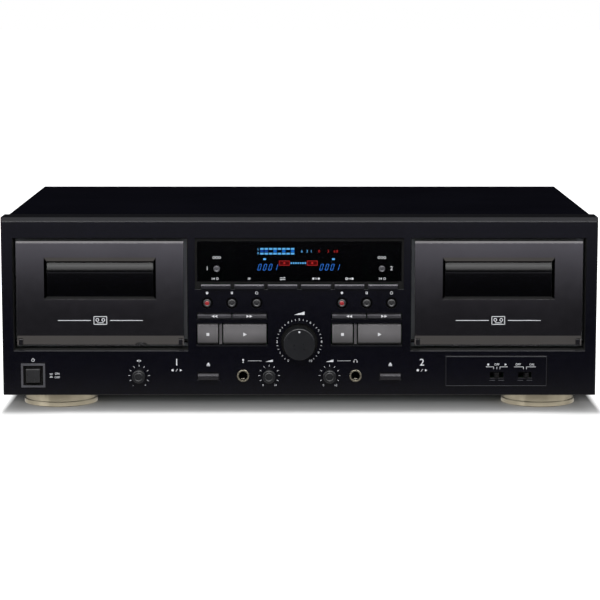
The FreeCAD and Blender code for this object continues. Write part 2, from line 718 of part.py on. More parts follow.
def deck_keys(side, middle):
    """The winding keys, the stop and play keys and the eject key of one deck."""
    left = middle - group_width / 2
    keys = []
    for number, name in enumerate(("rewind", "forward")):
        x = left + wind_width / 2 + (wind_width + S.wind_split) * number
        bevel = ("upper", S.wind_bevel)
        keys.append(key(f"{side}_{name}_key", x, wind_low, wind_width, S.wind_height, S.wind_proud, bevel))
    stop_x = left + S.stop_width / 2
    play_x = left + group_width - S.play_width / 2
    bevel = ("lower", S.play_bevel)
    for name, x, width in (("stop", stop_x, S.stop_width), ("play", play_x, S.play_width)):
        label = f"{side}_{name}_key"
        keys.append(key(label, x, S.play_bottom, width, S.play_height, S.play_proud, bevel, gap=S.play_gap))
    x = S.eject_offset if side == "right" else -S.eject_offset
    low = S.row_level - S.eject_drop - S.eject_height / 2
    facts = {"travel": S.eject_travel, "held": "both"}
    bevel = ("upper", S.eject_bevel)
    keys.append(key(f"{side}_eject_key", x, low, S.eject_width, S.eject_height, S.eject_proud, bevel, **facts))
    return keys


def all_keys():
    """Every square push key on the face."""
    keys = display_keys()
    for side, middle in GROUPS.items():
        keys += deck_keys(side, middle)
    low = S.row_level - S.power_side / 2
    facts = {"travel": S.power_travel, "held": "both"}
    bevel = ("all", S.power_bevel)
    keys.append(key("power_button", power_x, low, S.power_side, S.power_side, S.power_proud, bevel, **facts))
    return keys


def all_buttons():
    """Every round push button on the face, as name, place, radius and reach."""
    buttons = []
    for side, middle in GROUPS.items():
        for number, name in enumerate(("record", "pause", "mute")):
            x = middle + S.round_pitch * (number - 1)
            buttons.append((f"{side}_{name}_button", x, round_level, S.round_radius, S.round_gap, S.round_proud))
        x = reset_x if side == "right" else -reset_x
        buttons.append((f"{side}_counter_button", x, reset_level, S.reset_radius, S.key_gap / 2, S.reset_proud))
    return buttons


KEYS = all_keys()
BUTTONS = all_buttons()
LEVERS = {
    "timer_switch_lever": (S.timer_offset, S.timer_offset),
    "noise_switch_lever": (S.noise_offset, S.noise_offset + S.noise_shift),
}
TRIMMERS = {"mic_level_knob": -S.trim_offset, "phones_level_knob": S.trim_offset, "pitch_knob": -S.pitch_offset}
JACKS = {"mic": -S.jack_offset, "phones": S.jack_offset}


def front_shell(panel):
    """The face and rim of the front moulding, with its rounded and bevelled edges."""
    outline = panel.draw("floor", S.foot_height)
    outline.rectangle(-face_half, 0, face_half, S.panel_depth)
    panel.pad(outline, top)
    corners = [name for x in (-face_half, face_half) for name in panel.edges(x=x, y=0)]
    panel.soften("Fillet", S.corner_radius, corners)
    upper = panel.draw("side", -face_half)
    upper.polygon([(0, top), (0, top - S.bevel_height), (S.bevel_depth, top)])
    panel.cut(upper, face_half)
    lower = panel.draw("side", -face_half)
    lower.polygon([(0, S.foot_height), (S.edge_break, S.foot_height), (0, S.foot_height + S.edge_break)])
    panel.cut(lower, face_half)
    inner_half = face_half - S.panel_wall
    hollow = panel.draw("front", S.face_wall)
    hollow.rectangle(-inner_half, S.foot_height + S.panel_wall, inner_half, top - S.panel_wall)
    panel.cut(hollow, S.panel_depth)


def front_wells(panel):
    """The two wells behind the doors, their sloping edges and the bores of the door hinges."""
    walls = panel.draw("front", S.face_wall)
    for middle in DECKS.values():
        reach = well_half + S.well_wall
        walls.rectangle(middle - reach, well_low - S.well_wall, middle + reach, well_top + S.well_wall)
    panel.pad(walls, S.well_depth)
    openings = panel.draw("front", 0)
    for middle in DECKS.values():
        openings.rectangle(middle - well_half, well_low, middle + well_half, well_top)
    panel.cut(openings, S.well_depth)
    for middle in DECKS.values():
        wide = panel.draw("front", 0)
        reach = well_half + S.opening_edge
        wide.rectangle(middle - reach, well_low - S.opening_bevel, middle + reach, well_top + S.opening_edge)
        narrow = panel.draw("front", S.opening_bevel)
        narrow.rectangle(middle - well_half, well_low, middle + well_half, well_top)
        panel.slope(wide, narrow)
        bore_end = well_half + S.hinge_bite + S.frame_gap
        bores = panel.draw("side", middle - bore_end)
        bores.circle(S.hinge_depth, hinge_level, S.hinge_radius + S.running_gap)
        panel.cut(bores, middle + bore_end)


def front_display(panel):
    """The sunk border of the display, the seat of its window and the opening behind it."""
    low = display_low - S.ledge_reach
    ledge = panel.draw("front", S.face_wall)
    ledge.rectangle(-border_half, low, border_half, display_top + S.display_brow)
    panel.pad(ledge, pane_back + S.display_ledge)
    border = panel.draw("front", 0)
    border.rectangle(-border_half, small_low - S.key_gap, border_half, display_top + S.display_brow)
    panel.cut(border, S.display_sink)
    seat = panel.draw("front", S.display_sink)
    half = display_half + S.pane_play
    seat.rectangle(-half, display_low - S.pane_play, half, display_top + S.pane_play)
    panel.cut(seat, pane_back)
    opening = panel.draw("front", pane_back)
    half = display_half - S.ledge_reach
    opening.rectangle(-half, display_low + S.ledge_reach, half, display_top - S.ledge_reach)
    panel.cut(opening, pane_back + S.display_ledge)


def front_key_holes(panel):
    """The holes of every key and button, the rib between stop and play, and the power frame."""
    frame = panel.draw("front", -S.frame_proud)
    frame.block(power_x, S.row_level, S.power_frame, S.power_frame)
    panel.pad(frame, 0)
    recess = panel.draw("front", -S.frame_proud)
    inner = S.power_frame - 2 * S.power_edge
    recess.block(power_x, S.row_level, inner, inner)
    panel.cut(recess, S.power_sink)
    holes = panel.draw("front", 0)
    for item in KEYS:
        if "rewind" not in item.label and "forward" not in item.label:
            holes.block(item.x, item.z, item.width + 2 * item.gap, item.height + 2 * item.gap)
    wide = group_width + 2 * S.key_gap
    tall = S.wind_height + 2 * S.play_gap
    for middle in GROUPS.values():
        holes.block(middle, wind_low + S.wind_height / 2, wide, tall)
    for label, x, level, radius, gap, proud in BUTTONS:
        if "counter" not in label:
            holes.circle(x, level, radius + gap)
    panel.cut(holes, S.face_wall)
    ribs = panel.draw("front", -S.play_proud)
    for middle in GROUPS.values():
        x = middle - group_width / 2 + S.stop_width + S.play_gap + S.rib_width / 2
        ribs.block(x, S.play_bottom + S.play_height / 2, S.rib_width, S.play_height)
    panel.pad(ribs, 0)


def front_controls(panel):
    """The dish of the level knob, the holes of knobs and jacks, and the raised plate with its two slots."""
    plate = panel.draw("front", -S.plate_proud)
    plate.rectangle(S.plate_left, S.plate_low, S.plate_left + S.plate_width, S.plate_low + S.switch_plate)
    panel.pad(plate, 0)
    dish = panel.draw("front", 0).circle(0, S.knob_level, S.knob_radius + S.knob_dish)
    panel.cut(dish, S.dish_depth)
    holes = panel.draw("front", -S.plate_proud)
    holes.circle(0, S.knob_level, S.knob_shaft + S.shaft_play)
    for x in TRIMMERS.values():
        holes.circle(x, S.row_level, S.trim_shaft + S.shaft_play)
    for x in JACKS.values():
        holes.circle(x, S.row_level, S.jack_barrel + S.running_gap)
    for middle, rest in LEVERS.values():
        holes.block(middle, S.row_level + S.switch_rise, S.slot_width, S.slot_height)
    panel.cut(holes, S.face_wall)


def front_panel():
    """The front moulding."""
    panel = Piece("front_panel", y=face_y)
    front_shell(panel)
    front_wells(panel)
    front_display(panel)
    front_key_holes(panel)
    front_controls(panel)
    return panel.body


def display_window():
    """The smoked window over the display, with holes for the two counter buttons."""
    window = Piece("display_window", y=face_y)
    pane = window.draw("front", S.display_sink)
    pane.rectangle(-display_half, display_low, display_half, display_top)
    for label, x, level, radius, gap, proud in BUTTONS:
        if "counter" in label:
            pane.circle(x, level, radius + gap)
    window.pad(pane, pane_back)
    return window.body


def push_key(item):
    """A push key: its cap, the collar that keeps it behind the face and the stem to its switch."""
    piece = Piece(item.label, item.x, face_y, item.z)
    cap = piece.draw("front", -item.proud).block(0, 0, item.width, item.height)
    piece.pad(cap, collar_front)
    side, size = item.bevel
    names = {
        "upper": piece.edges(y=-item.proud, z=item.height / 2),
        "lower": piece.edges(y=-item.proud, z=-item.height / 2),
        "all": piece.edges(y=-item.proud),
    }[side]
    piece.soften("Chamfer", size, names)
    lap = 2 * (item.gap + S.collar_reach)
    wide = item.width if item.held == "upright" else item.width + lap
    tall = item.height if item.held == "across" else item.height + lap
    collar = piece.draw("front", collar_front).block(0, 0, wide, tall)
    piece.pad(collar, collar_back)
    stem = piece.draw("front", collar_back).block(0, 0, S.stem_side, S.stem_side)
    piece.pad(stem, S.board_depth - S.switch_depth - S.switch_gap - item.travel)
    return piece.body


def round_button(label, x, level, radius, gap, proud):
    """A round push button, with a collar behind what it stands in and a stem."""
    piece = Piece(label, x, face_y, level)
    seat = pane_back + S.frame_gap if "counter" in label else collar_front
    piece.pad(piece.draw("front", -proud).circle(0, 0, radius), seat)
    side = 2 * (radius + gap + S.collar_reach)
    piece.pad(piece.draw("front", seat).block(0, 0, side, side), seat + S.key_collar)
    stem = piece.draw("front", seat + S.key_collar).block(0, 0, S.stem_side, S.stem_side)
    piece.pad(stem, S.board_depth - S.switch_depth - S.switch_gap - S.key_travel)
    return piece.body


def knob(label, x, level, radius, reach, foot, shaft):
    """A knob that ends at the given foot, on the shaft that turns in its potentiometer."""
    piece = Piece(label, x, face_y, level)
    piece.pad(piece.draw("front", -reach).circle(0, 0, radius), foot)
    piece.pad(piece.draw("front", foot).circle(0, 0, shaft), S.board_depth - S.pot_depth + S.shaft_bite)
    return piece


def level_knob():
    """The recording level knob, with the dimple of its pointer."""
    foot = S.dish_depth - S.knob_float
    piece = knob("rec_level_knob", 0, S.knob_level, S.knob_radius, S.knob_reach, foot, S.knob_shaft)
    dimple = piece.draw("front", -S.knob_reach)
    dimple.circle(0, S.knob_radius - S.pointer_inset, S.pointer_radius)
    piece.cut(dimple, S.pointer_depth - S.knob_reach)
    return piece.body


def trim_knob(label, x):
    """A small knob with a notch as its pointer."""
    piece = knob(label, x, S.row_level, S.trim_radius, S.trim_reach, -S.knob_float, S.trim_shaft)
    notch = piece.draw("front", -S.trim_reach)
    half = S.trim_mark / 2
    notch.rectangle(-half, S.trim_radius / 2, half, S.trim_radius + S.trim_mark)
    piece.cut(notch, S.trim_mark - S.trim_reach)
    return piece.body


def switch_lever(label, rest):
    """The lever of a slide switch, grooved across, with the plate that it slides on."""
    piece = Piece(label, rest, face_y, S.row_level + S.switch_rise)
    front = -(S.plate_proud + S.lever_proud)
    tip = piece.draw("front", front).block(0, 0, S.lever_width, S.lever_height)
    piece.pad(tip, collar_front)
    grooves = piece.draw("front", front)
    for offset in (-S.lever_width / 4, S.lever_width / 4):
        grooves.block(offset, 0, S.lever_width / 8, S.lever_height)
    piece.cut(grooves, front + S.lever_groove)
    plate = piece.draw("front", collar_front)
    plate.block(0, 0, S.lever_width + 2 * S.collar_reach, S.slot_height + 2 * S.collar_reach)
    piece.pad(plate, collar_front + S.lever_plate)
    stem = piece.draw("front", collar_front + S.lever_plate).block(0, 0, S.lever_width / 2, S.lever_width / 2)
    piece.pad(stem, S.board_depth - S.switch_depth - S.switch_gap)
    return piece.body


def door(side, x):
    """A cassette door: its plate, the guides that a cassette slides into, and its hinge lugs."""
    piece = Piece(f"{side}_door", x, face_y)
    half = S.door_width / 2
    chin_top = S.door_bottom + S.chin_height
    chin_front = S.chin_set - S.door_proud
    plate = piece.draw("side", -half)
    plate.polygon([
        (chin_front, S.door_bottom),
        (chin_front + S.chin_wall, S.door_bottom),
        (door_back, chin_top),
        (door_back, door_top),
        (S.door_bevel - S.door_proud, door_top),
        (-S.door_proud, door_top - S.door_bevel),
        (-S.door_proud, chin_top),
    ])
    piece.pad(plate, half)
    door_glass_opening(piece)
    door_guides(piece)
    for turned in (-1, 1):
        inner, outer = ordered(turned * (half - S.lug_thick), turned * half)
        lug = piece.draw("side", inner)
        reach = S.hinge_lug / 2
        lug.rectangle(door_back - reach, hinge_level - reach, S.hinge_depth + reach, hinge_level + reach)
        piece.pad(lug, outer)
        near, far = ordered(turned * half, turned * (well_half + S.hinge_bite))
        piece.pad(piece.draw("side", near).circle(S.hinge_depth, hinge_level, S.hinge_radius), far)
    return piece.body


def door_glass_opening(piece):
    """The opening for a door's window, with the slope round its front."""
    half = S.glass_width / 2
    high = glass_low + S.glass_height
    opening = piece.draw("front", -S.door_proud).rectangle(-half, glass_low, half, high)
    piece.cut(opening, door_back)
    wide = piece.draw("front", -S.door_proud)
    reach = half + S.glass_slope
    wide.rectangle(-reach, glass_low - S.glass_slope, reach, high + S.glass_brow)
    narrow = piece.draw("front", S.glass_set - S.door_proud).rectangle(-half, glass_low, half, high)
    piece.slope(wide, narrow)


def door_guides(piece):
    """The two channels that hold a cassette on a door, and the lugs that it stands on."""
    inner = S.tape_width / 2 + S.tape_play
    outer = inner + S.guide_wall
    back = tape_back + S.guide_wall
    guides = piece.draw("floor", tape_low)
    lugs = piece.draw("floor", tape_low - S.guide_wall)
    for turned in (-1, 1):
        guides.polygon([
            (turned * outer, door_back),
            (turned * outer, back),
            (turned * (inner - S.guide_lip), back),
            (turned * (inner - S.guide_lip), tape_back),
            (turned * inner, tape_back),
            (turned * inner, door_back),
        ])
        low, high = ordered(turned * (outer - S.lug_reach), turned * outer)
        lugs.rectangle(low, door_back, high, back)
    piece.pad(guides, tape_low + S.guide_height)
    piece.pad(lugs, tape_low)


def door_window(side, x):
    """The clear window of a door, curved back at its top, with the flange that holds it from behind."""
    piece = Piece(f"{side}_door_window", x, face_y)
    half = S.glass_width / 2 - S.pane_play
    low = glass_low + S.pane_play
    high = glass_low + S.glass_height - S.pane_play
    pane = piece.draw("side", -half)
    pane.pane(S.glass_set - S.door_proud, door_back, low, high, S.pane_curve, S.pane_drop)
    piece.pad(pane, half)
    flange = piece.draw("front", door_back)
    reach = half + S.pane_lap
    flange.rectangle(-reach, low - S.pane_lap, reach, high + S.pane_lap)
    piece.pad(flange, door_back + S.pane_flange)
    return piece.body


def transport_frame(side, x):
    """A transport's frame: its sheet and rim, the bearing blocks and the bracket behind them."""
    piece = Piece(f"{side}_transport_frame", x, face_y)
    low = well_low - S.well_wall - S.frame_lap
    high = well_top + S.well_wall + S.frame_lap
    piece.pad(piece.draw("front", frame_front).rectangle(-frame_half, low, frame_half, high), frame_back)
    rim = piece.draw("front", frame_back).rectangle(-frame_half, low, frame_half, high)
    inner = frame_half - S.frame_sheet
    rim.rectangle(-inner, low + S.frame_sheet, inner, high - S.frame_sheet)
    piece.pad(rim, frame_back + S.frame_rim)
    hubs = [(-S.hub_spacing / 2, hub_level), (S.hub_spacing / 2, hub_level)]
    capstan = (S.capstan_offset, capstan_level)
    bearings = piece.draw("front", frame_back)
    for place_x, level in hubs + [capstan]:
        bearings.block(place_x, level, S.bearing_side, S.bearing_side)
    piece.pad(bearings, bearing_back)
    left = -(S.motor_offset + S.motor_radius + S.bracket_margin)
    right = S.capstan_offset + S.wheel_radius + S.bracket_margin
    bracket_low = capstan_level - S.wheel_radius
    bracket_high = motor_level + S.motor_radius + S.bracket_margin
    posts = piece.draw("front", frame_back)
    for place_x in (left + S.post_side / 2, right - S.post_side / 2):
        for level in (bracket_low + S.post_side / 2, bracket_high - S.post_side / 2):
            posts.block(place_x, level, S.post_side, S.post_side)
    piece.pad(posts, bracket_front)
    bracket = piece.draw("front", bracket_front).rectangle(left, bracket_low, right, bracket_high)
    opening = 2 * (S.pulley_radius + S.frame_gap)
    bracket.block(-S.motor_offset, motor_level, opening, opening)
    piece.pad(bracket, bracket_back)
    bores = piece.draw("front", frame_front)
    for place_x, level in hubs:
        bores.circle(place_x, level, S.hub_shaft + S.running_gap)
    bores.circle(*capstan, S.capstan_radius + S.running_gap)
    piece.cut(bores, bearing_back)
    pins = piece.draw("front", head_front - S.frame_gap)
    for place_x in pin_places:
        low = slot_low + S.head_travel
        pins.rectangle(place_x - S.guide_pin / 2, low, place_x + S.guide_pin / 2, low + S.guide_pin)
    piece.pad(pins, frame_front)
    return piece.body


def spindle(side, name, x):
    """A reel spindle: its splined hub and its shaft."""
    piece = Piece(f"{side}_{name}_spindle", x, face_y, hub_level)
    hub_back = frame_front - S.frame_gap
    profile = piece.draw("floor")
    profile.polygon([
        (0, S.hub_tip),
        (S.hub_radius, S.hub_tip),
        (S.hub_radius, hub_back),
        (S.hub_shaft, hub_back),
        (S.hub_shaft, bearing_back),
        (0, bearing_back),
    ])
    piece.spin(profile)
    fin = piece.draw("front", S.hub_tip + S.hub_nose)
    fin.rectangle(-S.spline_width / 2, 0, S.spline_width / 2, S.hub_radius + S.spline_reach)
    spline = piece.pad(fin, hub_back)
    ring = piece.feature("PolarPattern")
    ring.Originals = [spline]
    ring.Axis = (fin.sketch, ["N_Axis"])
    ring.Angle = 360
    ring.setExpression("Occurrences", S.spline_count.text)
    piece.body.Tip = ring
    return piece.body


def flywheel(side, x):
    """A flywheel, in one piece with the capstan that it turns."""
    piece = Piece(f"{side}_flywheel", x + S.capstan_offset, face_y, capstan_level)
    profile = piece.draw("floor")
    profile.polygon([
        (0, S.capstan_tip),
        (S.capstan_radius, S.capstan_tip),
        (S.capstan_radius, wheel_front),
        (S.wheel_radius, wheel_front),
        (S.wheel_radius, wheel_back),
        (0, wheel_back),
    ])
    piece.spin(profile)
    return piece.body


def head_plate(side, x):
    """The plate that lifts the heads and the pinch roller: slotted sheet, shelf, two heads and a pin."""
    piece = Piece(f"{side}_head_plate", x, face_y)
    right = S.capstan_offset + S.roller_radius
    plate = piece.draw("front", head_front).rectangle(plate_left, plate_low, right, plate_high)
    slot_half = S.guide_pin / 2 + S.frame_gap
    slot_high = slot_low + S.guide_pin + S.head_travel + S.frame_gap
    for pin_x in pin_places:
        plate.rectangle(pin_x - slot_half, slot_low - S.frame_gap, pin_x + slot_half, slot_high)
    piece.pad(plate, head_back)
    shelf = piece.draw("floor", head_low - S.head_sheet)
    shelf.rectangle(shelf_left, heads_front + S.head_sheet, shelf_right, head_front)
    piece.pad(shelf, head_low)
    for left, width in ((-S.head_width / 2, S.head_width), (shelf_left + S.plate_reach, S.erase_width)):
        block = piece.draw("floor", head_low)
        block.rectangle(left, heads_front, left + width, heads_front + S.head_depth)
        piece.pad(block, head_top)
        crown = [name for end in (left, left + width) for name in piece.edges(x=end, z=head_top)]
        piece.soften("Fillet", S.head_height / 3, crown)
    shoulder = piece.draw("front", roller_back + S.frame_gap)
    shoulder.block(S.capstan_offset, roller_level, 4 * S.roller_pin, 4 * S.roller_pin)
    piece.pad(shoulder, head_front)
    pin = piece.draw("front", roller_front - S.frame_gap)
    pin.circle(S.capstan_offset, roller_level, S.roller_pin)
    piece.pad(pin, roller_back + S.frame_gap)
    return piece.body


def pinch_roller(side, x):
    """A pinch roller."""
    piece = Piece(f"{side}_pinch_roller", x + S.capstan_offset, face_y, roller_level)
    ring = piece.draw("front", roller_front)
    ring.circle(0, 0, S.roller_radius)
    ring.circle(0, 0, S.roller_pin + S.running_gap)
    piece.pad(ring, roller_back)
    return piece.body


def drive_motor(side, x):
    """A motor with its pulley."""
    piece = Piece(f"{side}_drive_motor", x - S.motor_offset, face_y, motor_level)
    profile = piece.draw("floor")
    profile.polygon([
        (0, wheel_front),
        (S.pulley_radius, wheel_front),
        (S.pulley_radius, wheel_back),
        (S.motor_shaft, wheel_back),
        (S.motor_shaft, bracket_back),
        (S.motor_radius, bracket_back),
        (S.motor_radius, bracket_back + S.motor_length),
        (0, bracket_back + S.motor_length),
    ])
    piece.spin(profile)
    return piece.body


def top_cover():
    """The steel cover: a bent sheet over the top and both sides, with a lip at the rear."""
    cover = Piece("top_cover", y=face_y)
    inner = case_half - S.sheet_thick
    roof = top - S.sheet_thick
    bend = cover.draw("front", cover_front)
    bend.polygon([
        (-case_half, S.foot_height),
        (-case_half, top),
        (case_half, top),
        (case_half, S.foot_height),
        (inner, S.foot_height),
        (inner, roof),
        (-inner, roof),
        (-inner, S.foot_height),
    ])
    cover.pad(bend, S.body_depth)
    for x, z, radius in ((case_half, top, S.bend_radius), (inner, roof, S.bend_radius - S.sheet_thick)):
        cover.soften("Fillet", radius, cover.edges(x=-x, z=z) + cover.edges(x=x, z=z))
    lip = cover.draw("front", rear_back + S.sheet_gap)
    lip.rectangle(-base_half, roof - S.cover_lip, base_half, roof)
    cover.pad(lip, S.body_depth)
    side_holes = cover.draw("side", -case_half)
    for depth in (S.side_front, side_back):
        side_holes.circle(depth, S.side_screw, S.screw_shank + S.screw_play)
    cover.cut(side_holes, case_half)
    return cover.body


def chassis_base():
    """The base tray with its side and front flanges, vents and screw holes."""
    base = Piece("chassis_base", y=face_y)
    inner = base_half - S.sheet_thick
    high = S.foot_height + S.base_flange
    tray = base.draw("front", cover_front)
    tray.polygon([
        (-base_half, high),
        (-base_half, S.foot_height),
        (base_half, S.foot_height),
        (base_half, high),
        (inner, high),
        (inner, base_top),
        (-inner, base_top),
        (-inner, high),
    ])
    base.pad(tray, rear_back)
    front = base.draw("front", cover_front).rectangle(-inner, base_top, inner, high)
    base.pad(front, cover_front + S.sheet_thick)
    for first in (-S.vent_middle - (VENTS - 1) * vent_pitch - S.vent_width, S.vent_middle):
        vent = base.draw("floor", S.foot_height)
        vent.rectangle(first, S.vent_start, first + S.vent_width, S.vent_start + S.vent_length)
        slot = base.cut(vent, base_top)
        base.repeat(slot, vent, "H_Axis", vent_pitch, VENTS)
    side_holes = base.draw("side", -base_half)
    for depth in (S.side_front, side_back):
        side_holes.circle(depth, S.side_screw, S.screw_shank + S.running_gap)
    base.cut(side_holes, base_half)
    peg_holes = base.draw("floor", S.foot_height)
    side = S.foot_peg + 2 * S.screw_play
    for x, depth in foot_places:
        peg_holes.block(x, depth, side, side)
    base.cut(peg_holes, base_top)
    return base.body


def rear_panel():
    """The rear sheet, with the openings of the sockets, the data port and the mains inlet."""
    panel = Piece("rear_panel", y=face_y)
    panel.pad(panel.draw("front", rear_front).rectangle(-rear_half, base_top, rear_half, rear_high), rear_back)
    holes = panel.draw("front", rear_front)
    play = 2 * S.cutout_play
    for x in line_blocks.values():
        holes.block(x, S.line_level, socket_side + play, socket_side + play)
    holes.block(S.port_offset, S.port_level, S.port_width + play, S.port_height + play)
    holes.block(S.inlet_offset, S.inlet_level, inlet_width + play, inlet_height + play)
    panel.cut(holes, rear_back)
    return panel.body


def socket_block(name, middle):
    """Four line sockets on their block, which reaches through the rear sheet from behind it."""
    piece = Piece(name, middle, face_y)
    side = socket_side + 2 * S.block_edge
    piece.pad(piece.draw("front", rear_front - S.block_depth).block(0, S.line_level, side, side), rear_front)
    plate = piece.draw("front", rear_front).block(0, S.line_level, socket_side, socket_side)
    piece.pad(plate, rear_back + S.port_proud)
    barrels = piece.draw("front", rear_back + S.port_proud)
    end = S.body_depth + S.socket_reach
    bores = piece.draw("front", end - S.line_depth)
    for x in (-S.line_pitch / 2, S.line_pitch / 2):
        for level in (S.line_level - S.line_pitch / 2, S.line_level + S.line_pitch / 2):
            barrels.circle(x, level, S.line_radius)
            bores.circle(x, level, S.line_bore)
    piece.pad(barrels, end)
    piece.cut(bores, end)
    return piece.body


def data_port():
    """The data port, with its tongue."""
    piece = Piece("data_port", S.port_offset, face_y)
    shell = piece.draw("front", rear_front - S.port_depth)
    piece.pad(shell.block(0, S.port_level, S.port_width, S.port_height), rear_back + S.port_proud)
    mouth = piece.draw("front", rear_back + S.port_proud - S.port_depth)
    mouth.block(0, S.port_level, S.port_width - 2 * S.port_wall, S.port_height - 2 * S.port_wall)
    mouth.block(0, S.port_level, S.port_width - 4 * S.port_wall, 2 * S.port_tongue)
    piece.cut(mouth, rear_back + S.port_proud)
    return piece.body


def power_inlet():
    """The two-pin mains inlet, with a flange over the rear sheet."""
    inlet = Piece("power_inlet", S.inlet_offset, face_y)
    front = rear_back + S.flange_thick
    floor = front - S.inlet_depth
    block = inlet.draw("front", floor - S.inlet_wall).block(0, S.inlet_level, inlet_width, inlet_height)
    inlet.pad(block, rear_back)
    lap = 2 * S.inlet_flange
    flange = inlet.draw("front", rear_back).block(0, S.inlet_level, inlet_width + lap, inlet_height + lap)
    inlet.pad(flange, front)
    half = S.inlet_pitch / 2
    recess = inlet.draw("front", floor)
    recess.loop((-half, S.inlet_level, S.inlet_round), (half, S.inlet_level, S.inlet_round))
    for x in (-half, half):
        recess.circle(x, S.inlet_level, S.pin_radius)
    inlet.cut(recess, front)
    mouth = inlet.draw("front", front - S.pin_sink)
    mouth.loop((-half, S.inlet_level, S.inlet_round), (half, S.inlet_level, S.inlet_round))
    inlet.cut(mouth, front)
    return inlet.body


def front_jack(name, x):
    """A headphone-size jack: its collar on the face, its barrel and its body behind the face."""
    piece = Piece(name, x, face_y, S.row_level)
    collar = piece.draw("front", -S.jack_proud).circle(0, 0, S.jack_collar)
    piece.pad(collar, 0)
    barrel = piece.draw("front", 0).circle(0, 0, S.jack_barrel)
    piece.pad(barrel, S.jack_length)
    side = 2 * (S.jack_barrel + S.jack_wall)
    body = piece.draw("front", collar_front).block(0, 0, side, side)
    piece.pad(body, S.jack_length)
    bore = piece.draw("front", -S.jack_proud).circle(0, 0, S.jack_bore)
    piece.cut(bore, S.jack_length - S.jack_wall)
    return piece.body


def foot(name, x, depth):
    """A foot with a wider lower band, and the peg that holds it in the base."""
    piece = Piece(name, x, face_y + depth)
    outer = S.foot_radius - S.foot_taper
    band = S.pad_thick + S.foot_band
    profile = piece.draw("front")
    profile.polygon([
        (0, S.pad_thick),
        (S.foot_radius, S.pad_thick),
        (S.foot_radius, band),
        (outer, band + S.foot_taper),
        (outer, S.foot_height),
        (0, S.foot_height),
    ])
    piece.spin(profile)
    peg = piece.draw("floor", S.foot_height).block(0, 0, S.foot_peg, S.foot_peg)
    piece.pad(peg, base_top + S.sheet_thick)
    return piece.body


def side_screw(name, turned, depth):
    """A screw that holds one side of the cover to the base, with its head against the cover."""
    turn = FreeCAD.Rotation(FreeCAD.Vector(0, 0, 1), 90 * turned)
    piece = Piece(name, turned * case_half, face_y + depth, S.side_screw, turn)
    piece.pad(piece.draw("front", -S.head_thick).circle(0, 0, S.screw_head), 0)
    piece.pad(piece.draw("front", 0).circle(0, 0, S.screw_shank), S.screw_length)
    return piece.body


def all_screws():
    """The four screws in the cover's sides."""
    screws = []
    for side, turned in (("left", -1), ("right", 1)):
        screws.append(side_screw(f"{side}_front_screw", turned, S.side_front))
        screws.append(side_screw(f"{side}_rear_screw", turned, side_back))
    return screws


def control_board():
    """The control board behind the face, with the display tube, the switches and the potentiometers."""
    board = Piece("control_board_sheet", y=face_y)
    side = face_half - S.panel_wall - S.board_foot
    column = door_x - frame_half - S.board_gap
    low = S.foot_height + S.panel_wall + S.board_foot
    shoulder = well_low - S.well_wall - S.frame_lap - S.board_gap
    high = top - S.panel_wall - S.board_foot
    outline = board.draw("front", S.board_depth)
    outline.polygon([
        (-side, low),
        (side, low),
        (side, shoulder),
        (column, shoulder),
        (column, high),
        (-column, high),
        (-column, shoulder),
        (-side, shoulder),
    ])
    board.pad(outline, board_back)
    members = [board.body]
    for item in KEYS:
        members.append(switch(item.label, item.x, item.z, S.switch_side))
    for label, x, level, radius, gap, proud in BUTTONS:
        members.append(switch(label, x, level, S.switch_side))
    for label, (middle, rest) in LEVERS.items():
        members.append(switch(label, middle, S.row_level + S.switch_rise, S.slot_width))
    members.append(potentiometer("rec_level", 0, S.knob_level, S.pot_side, S.knob_shaft))
    for label, x in TRIMMERS.items():
        members.append(potentiometer(label, x, S.row_level, S.small_pot, S.trim_shaft))
    return group("control_board", members + display_tube())


def switch(label, x, level, width):
    """The switch on the control board behind a key, a button or a lever."""
    left = x - width / 2
    y = face_y + S.board_depth - S.switch_depth
    low = level - S.switch_side / 2
    return solid_box(f"{label}_switch", left, y, low, width, S.switch_depth, S.switch_side)


def display_tube():
    """The tube behind the display window and the holder that carries it on the control board."""
    y = face_y + pane_back + S.display_ledge + S.tube_gap
    low = display_low + (S.display_height - S.tube_height) / 2
    tube = solid_box("display_tube", -S.tube_width / 2, y, low, S.tube_width, S.tube_depth, S.tube_height)
    back = y + S.tube_depth
    width = S.tube_width - 2 * S.board_gap
    height = S.tube_height - 2 * S.board_gap
    depth = face_y + S.board_depth - back
    holder = solid_box("tube_holder", -width / 2, back, low + S.board_gap, width, depth, height)
    return [tube, holder]


def potentiometer(label, x, level, side, shaft):
    """A potentiometer with the bore that a knob's shaft turns in."""
    y = face_y + S.board_depth - S.pot_depth
    case = solid_box(f"{label}_case", x - side / 2, y, level - side / 2, side, S.pot_depth, side)
    depth = S.shaft_bite + S.frame_gap
    bore = solid_rod(f"{label}_bore", x, y, level, shaft + S.running_gap, depth, BACKWARD)
    item = doc.addObject("Part::Cut", f"{label}_potentiometer")
    item.Base = case
    item.Tool = bore
    return item


def main_board():
    """The main board on its stand-offs with the filter capacitors, and the mains transformer beside it."""
    left = S.main_offset - S.main_width / 2
    front = face_y + rear_front - S.main_back - S.main_length
    level = base_top + S.main_rise
    members = [solid_box("main_board_sheet", left, front, level, S.main_width, S.main_length, S.board_thick)]
    for x in (left + S.stand_inset, left + S.main_width - S.stand_inset - S.stand_side):
        for y in (front + S.stand_inset, front + S.main_length - S.stand_inset - S.stand_side):
            members.append(solid_box("stand_off", x, y, base_top, S.stand_side, S.stand_side, S.main_rise))
    for number in range(CANS):
        x = left + S.main_width - S.stand_inset - S.can_radius - number * S.can_pitch
        y = front + S.main_length / 2
        members.append(solid_rod("filter_capacitor", x, y, level + S.board_thick, S.can_radius, S.can_height))
    members.append(mains_transformer())
    return group("main_board", members)


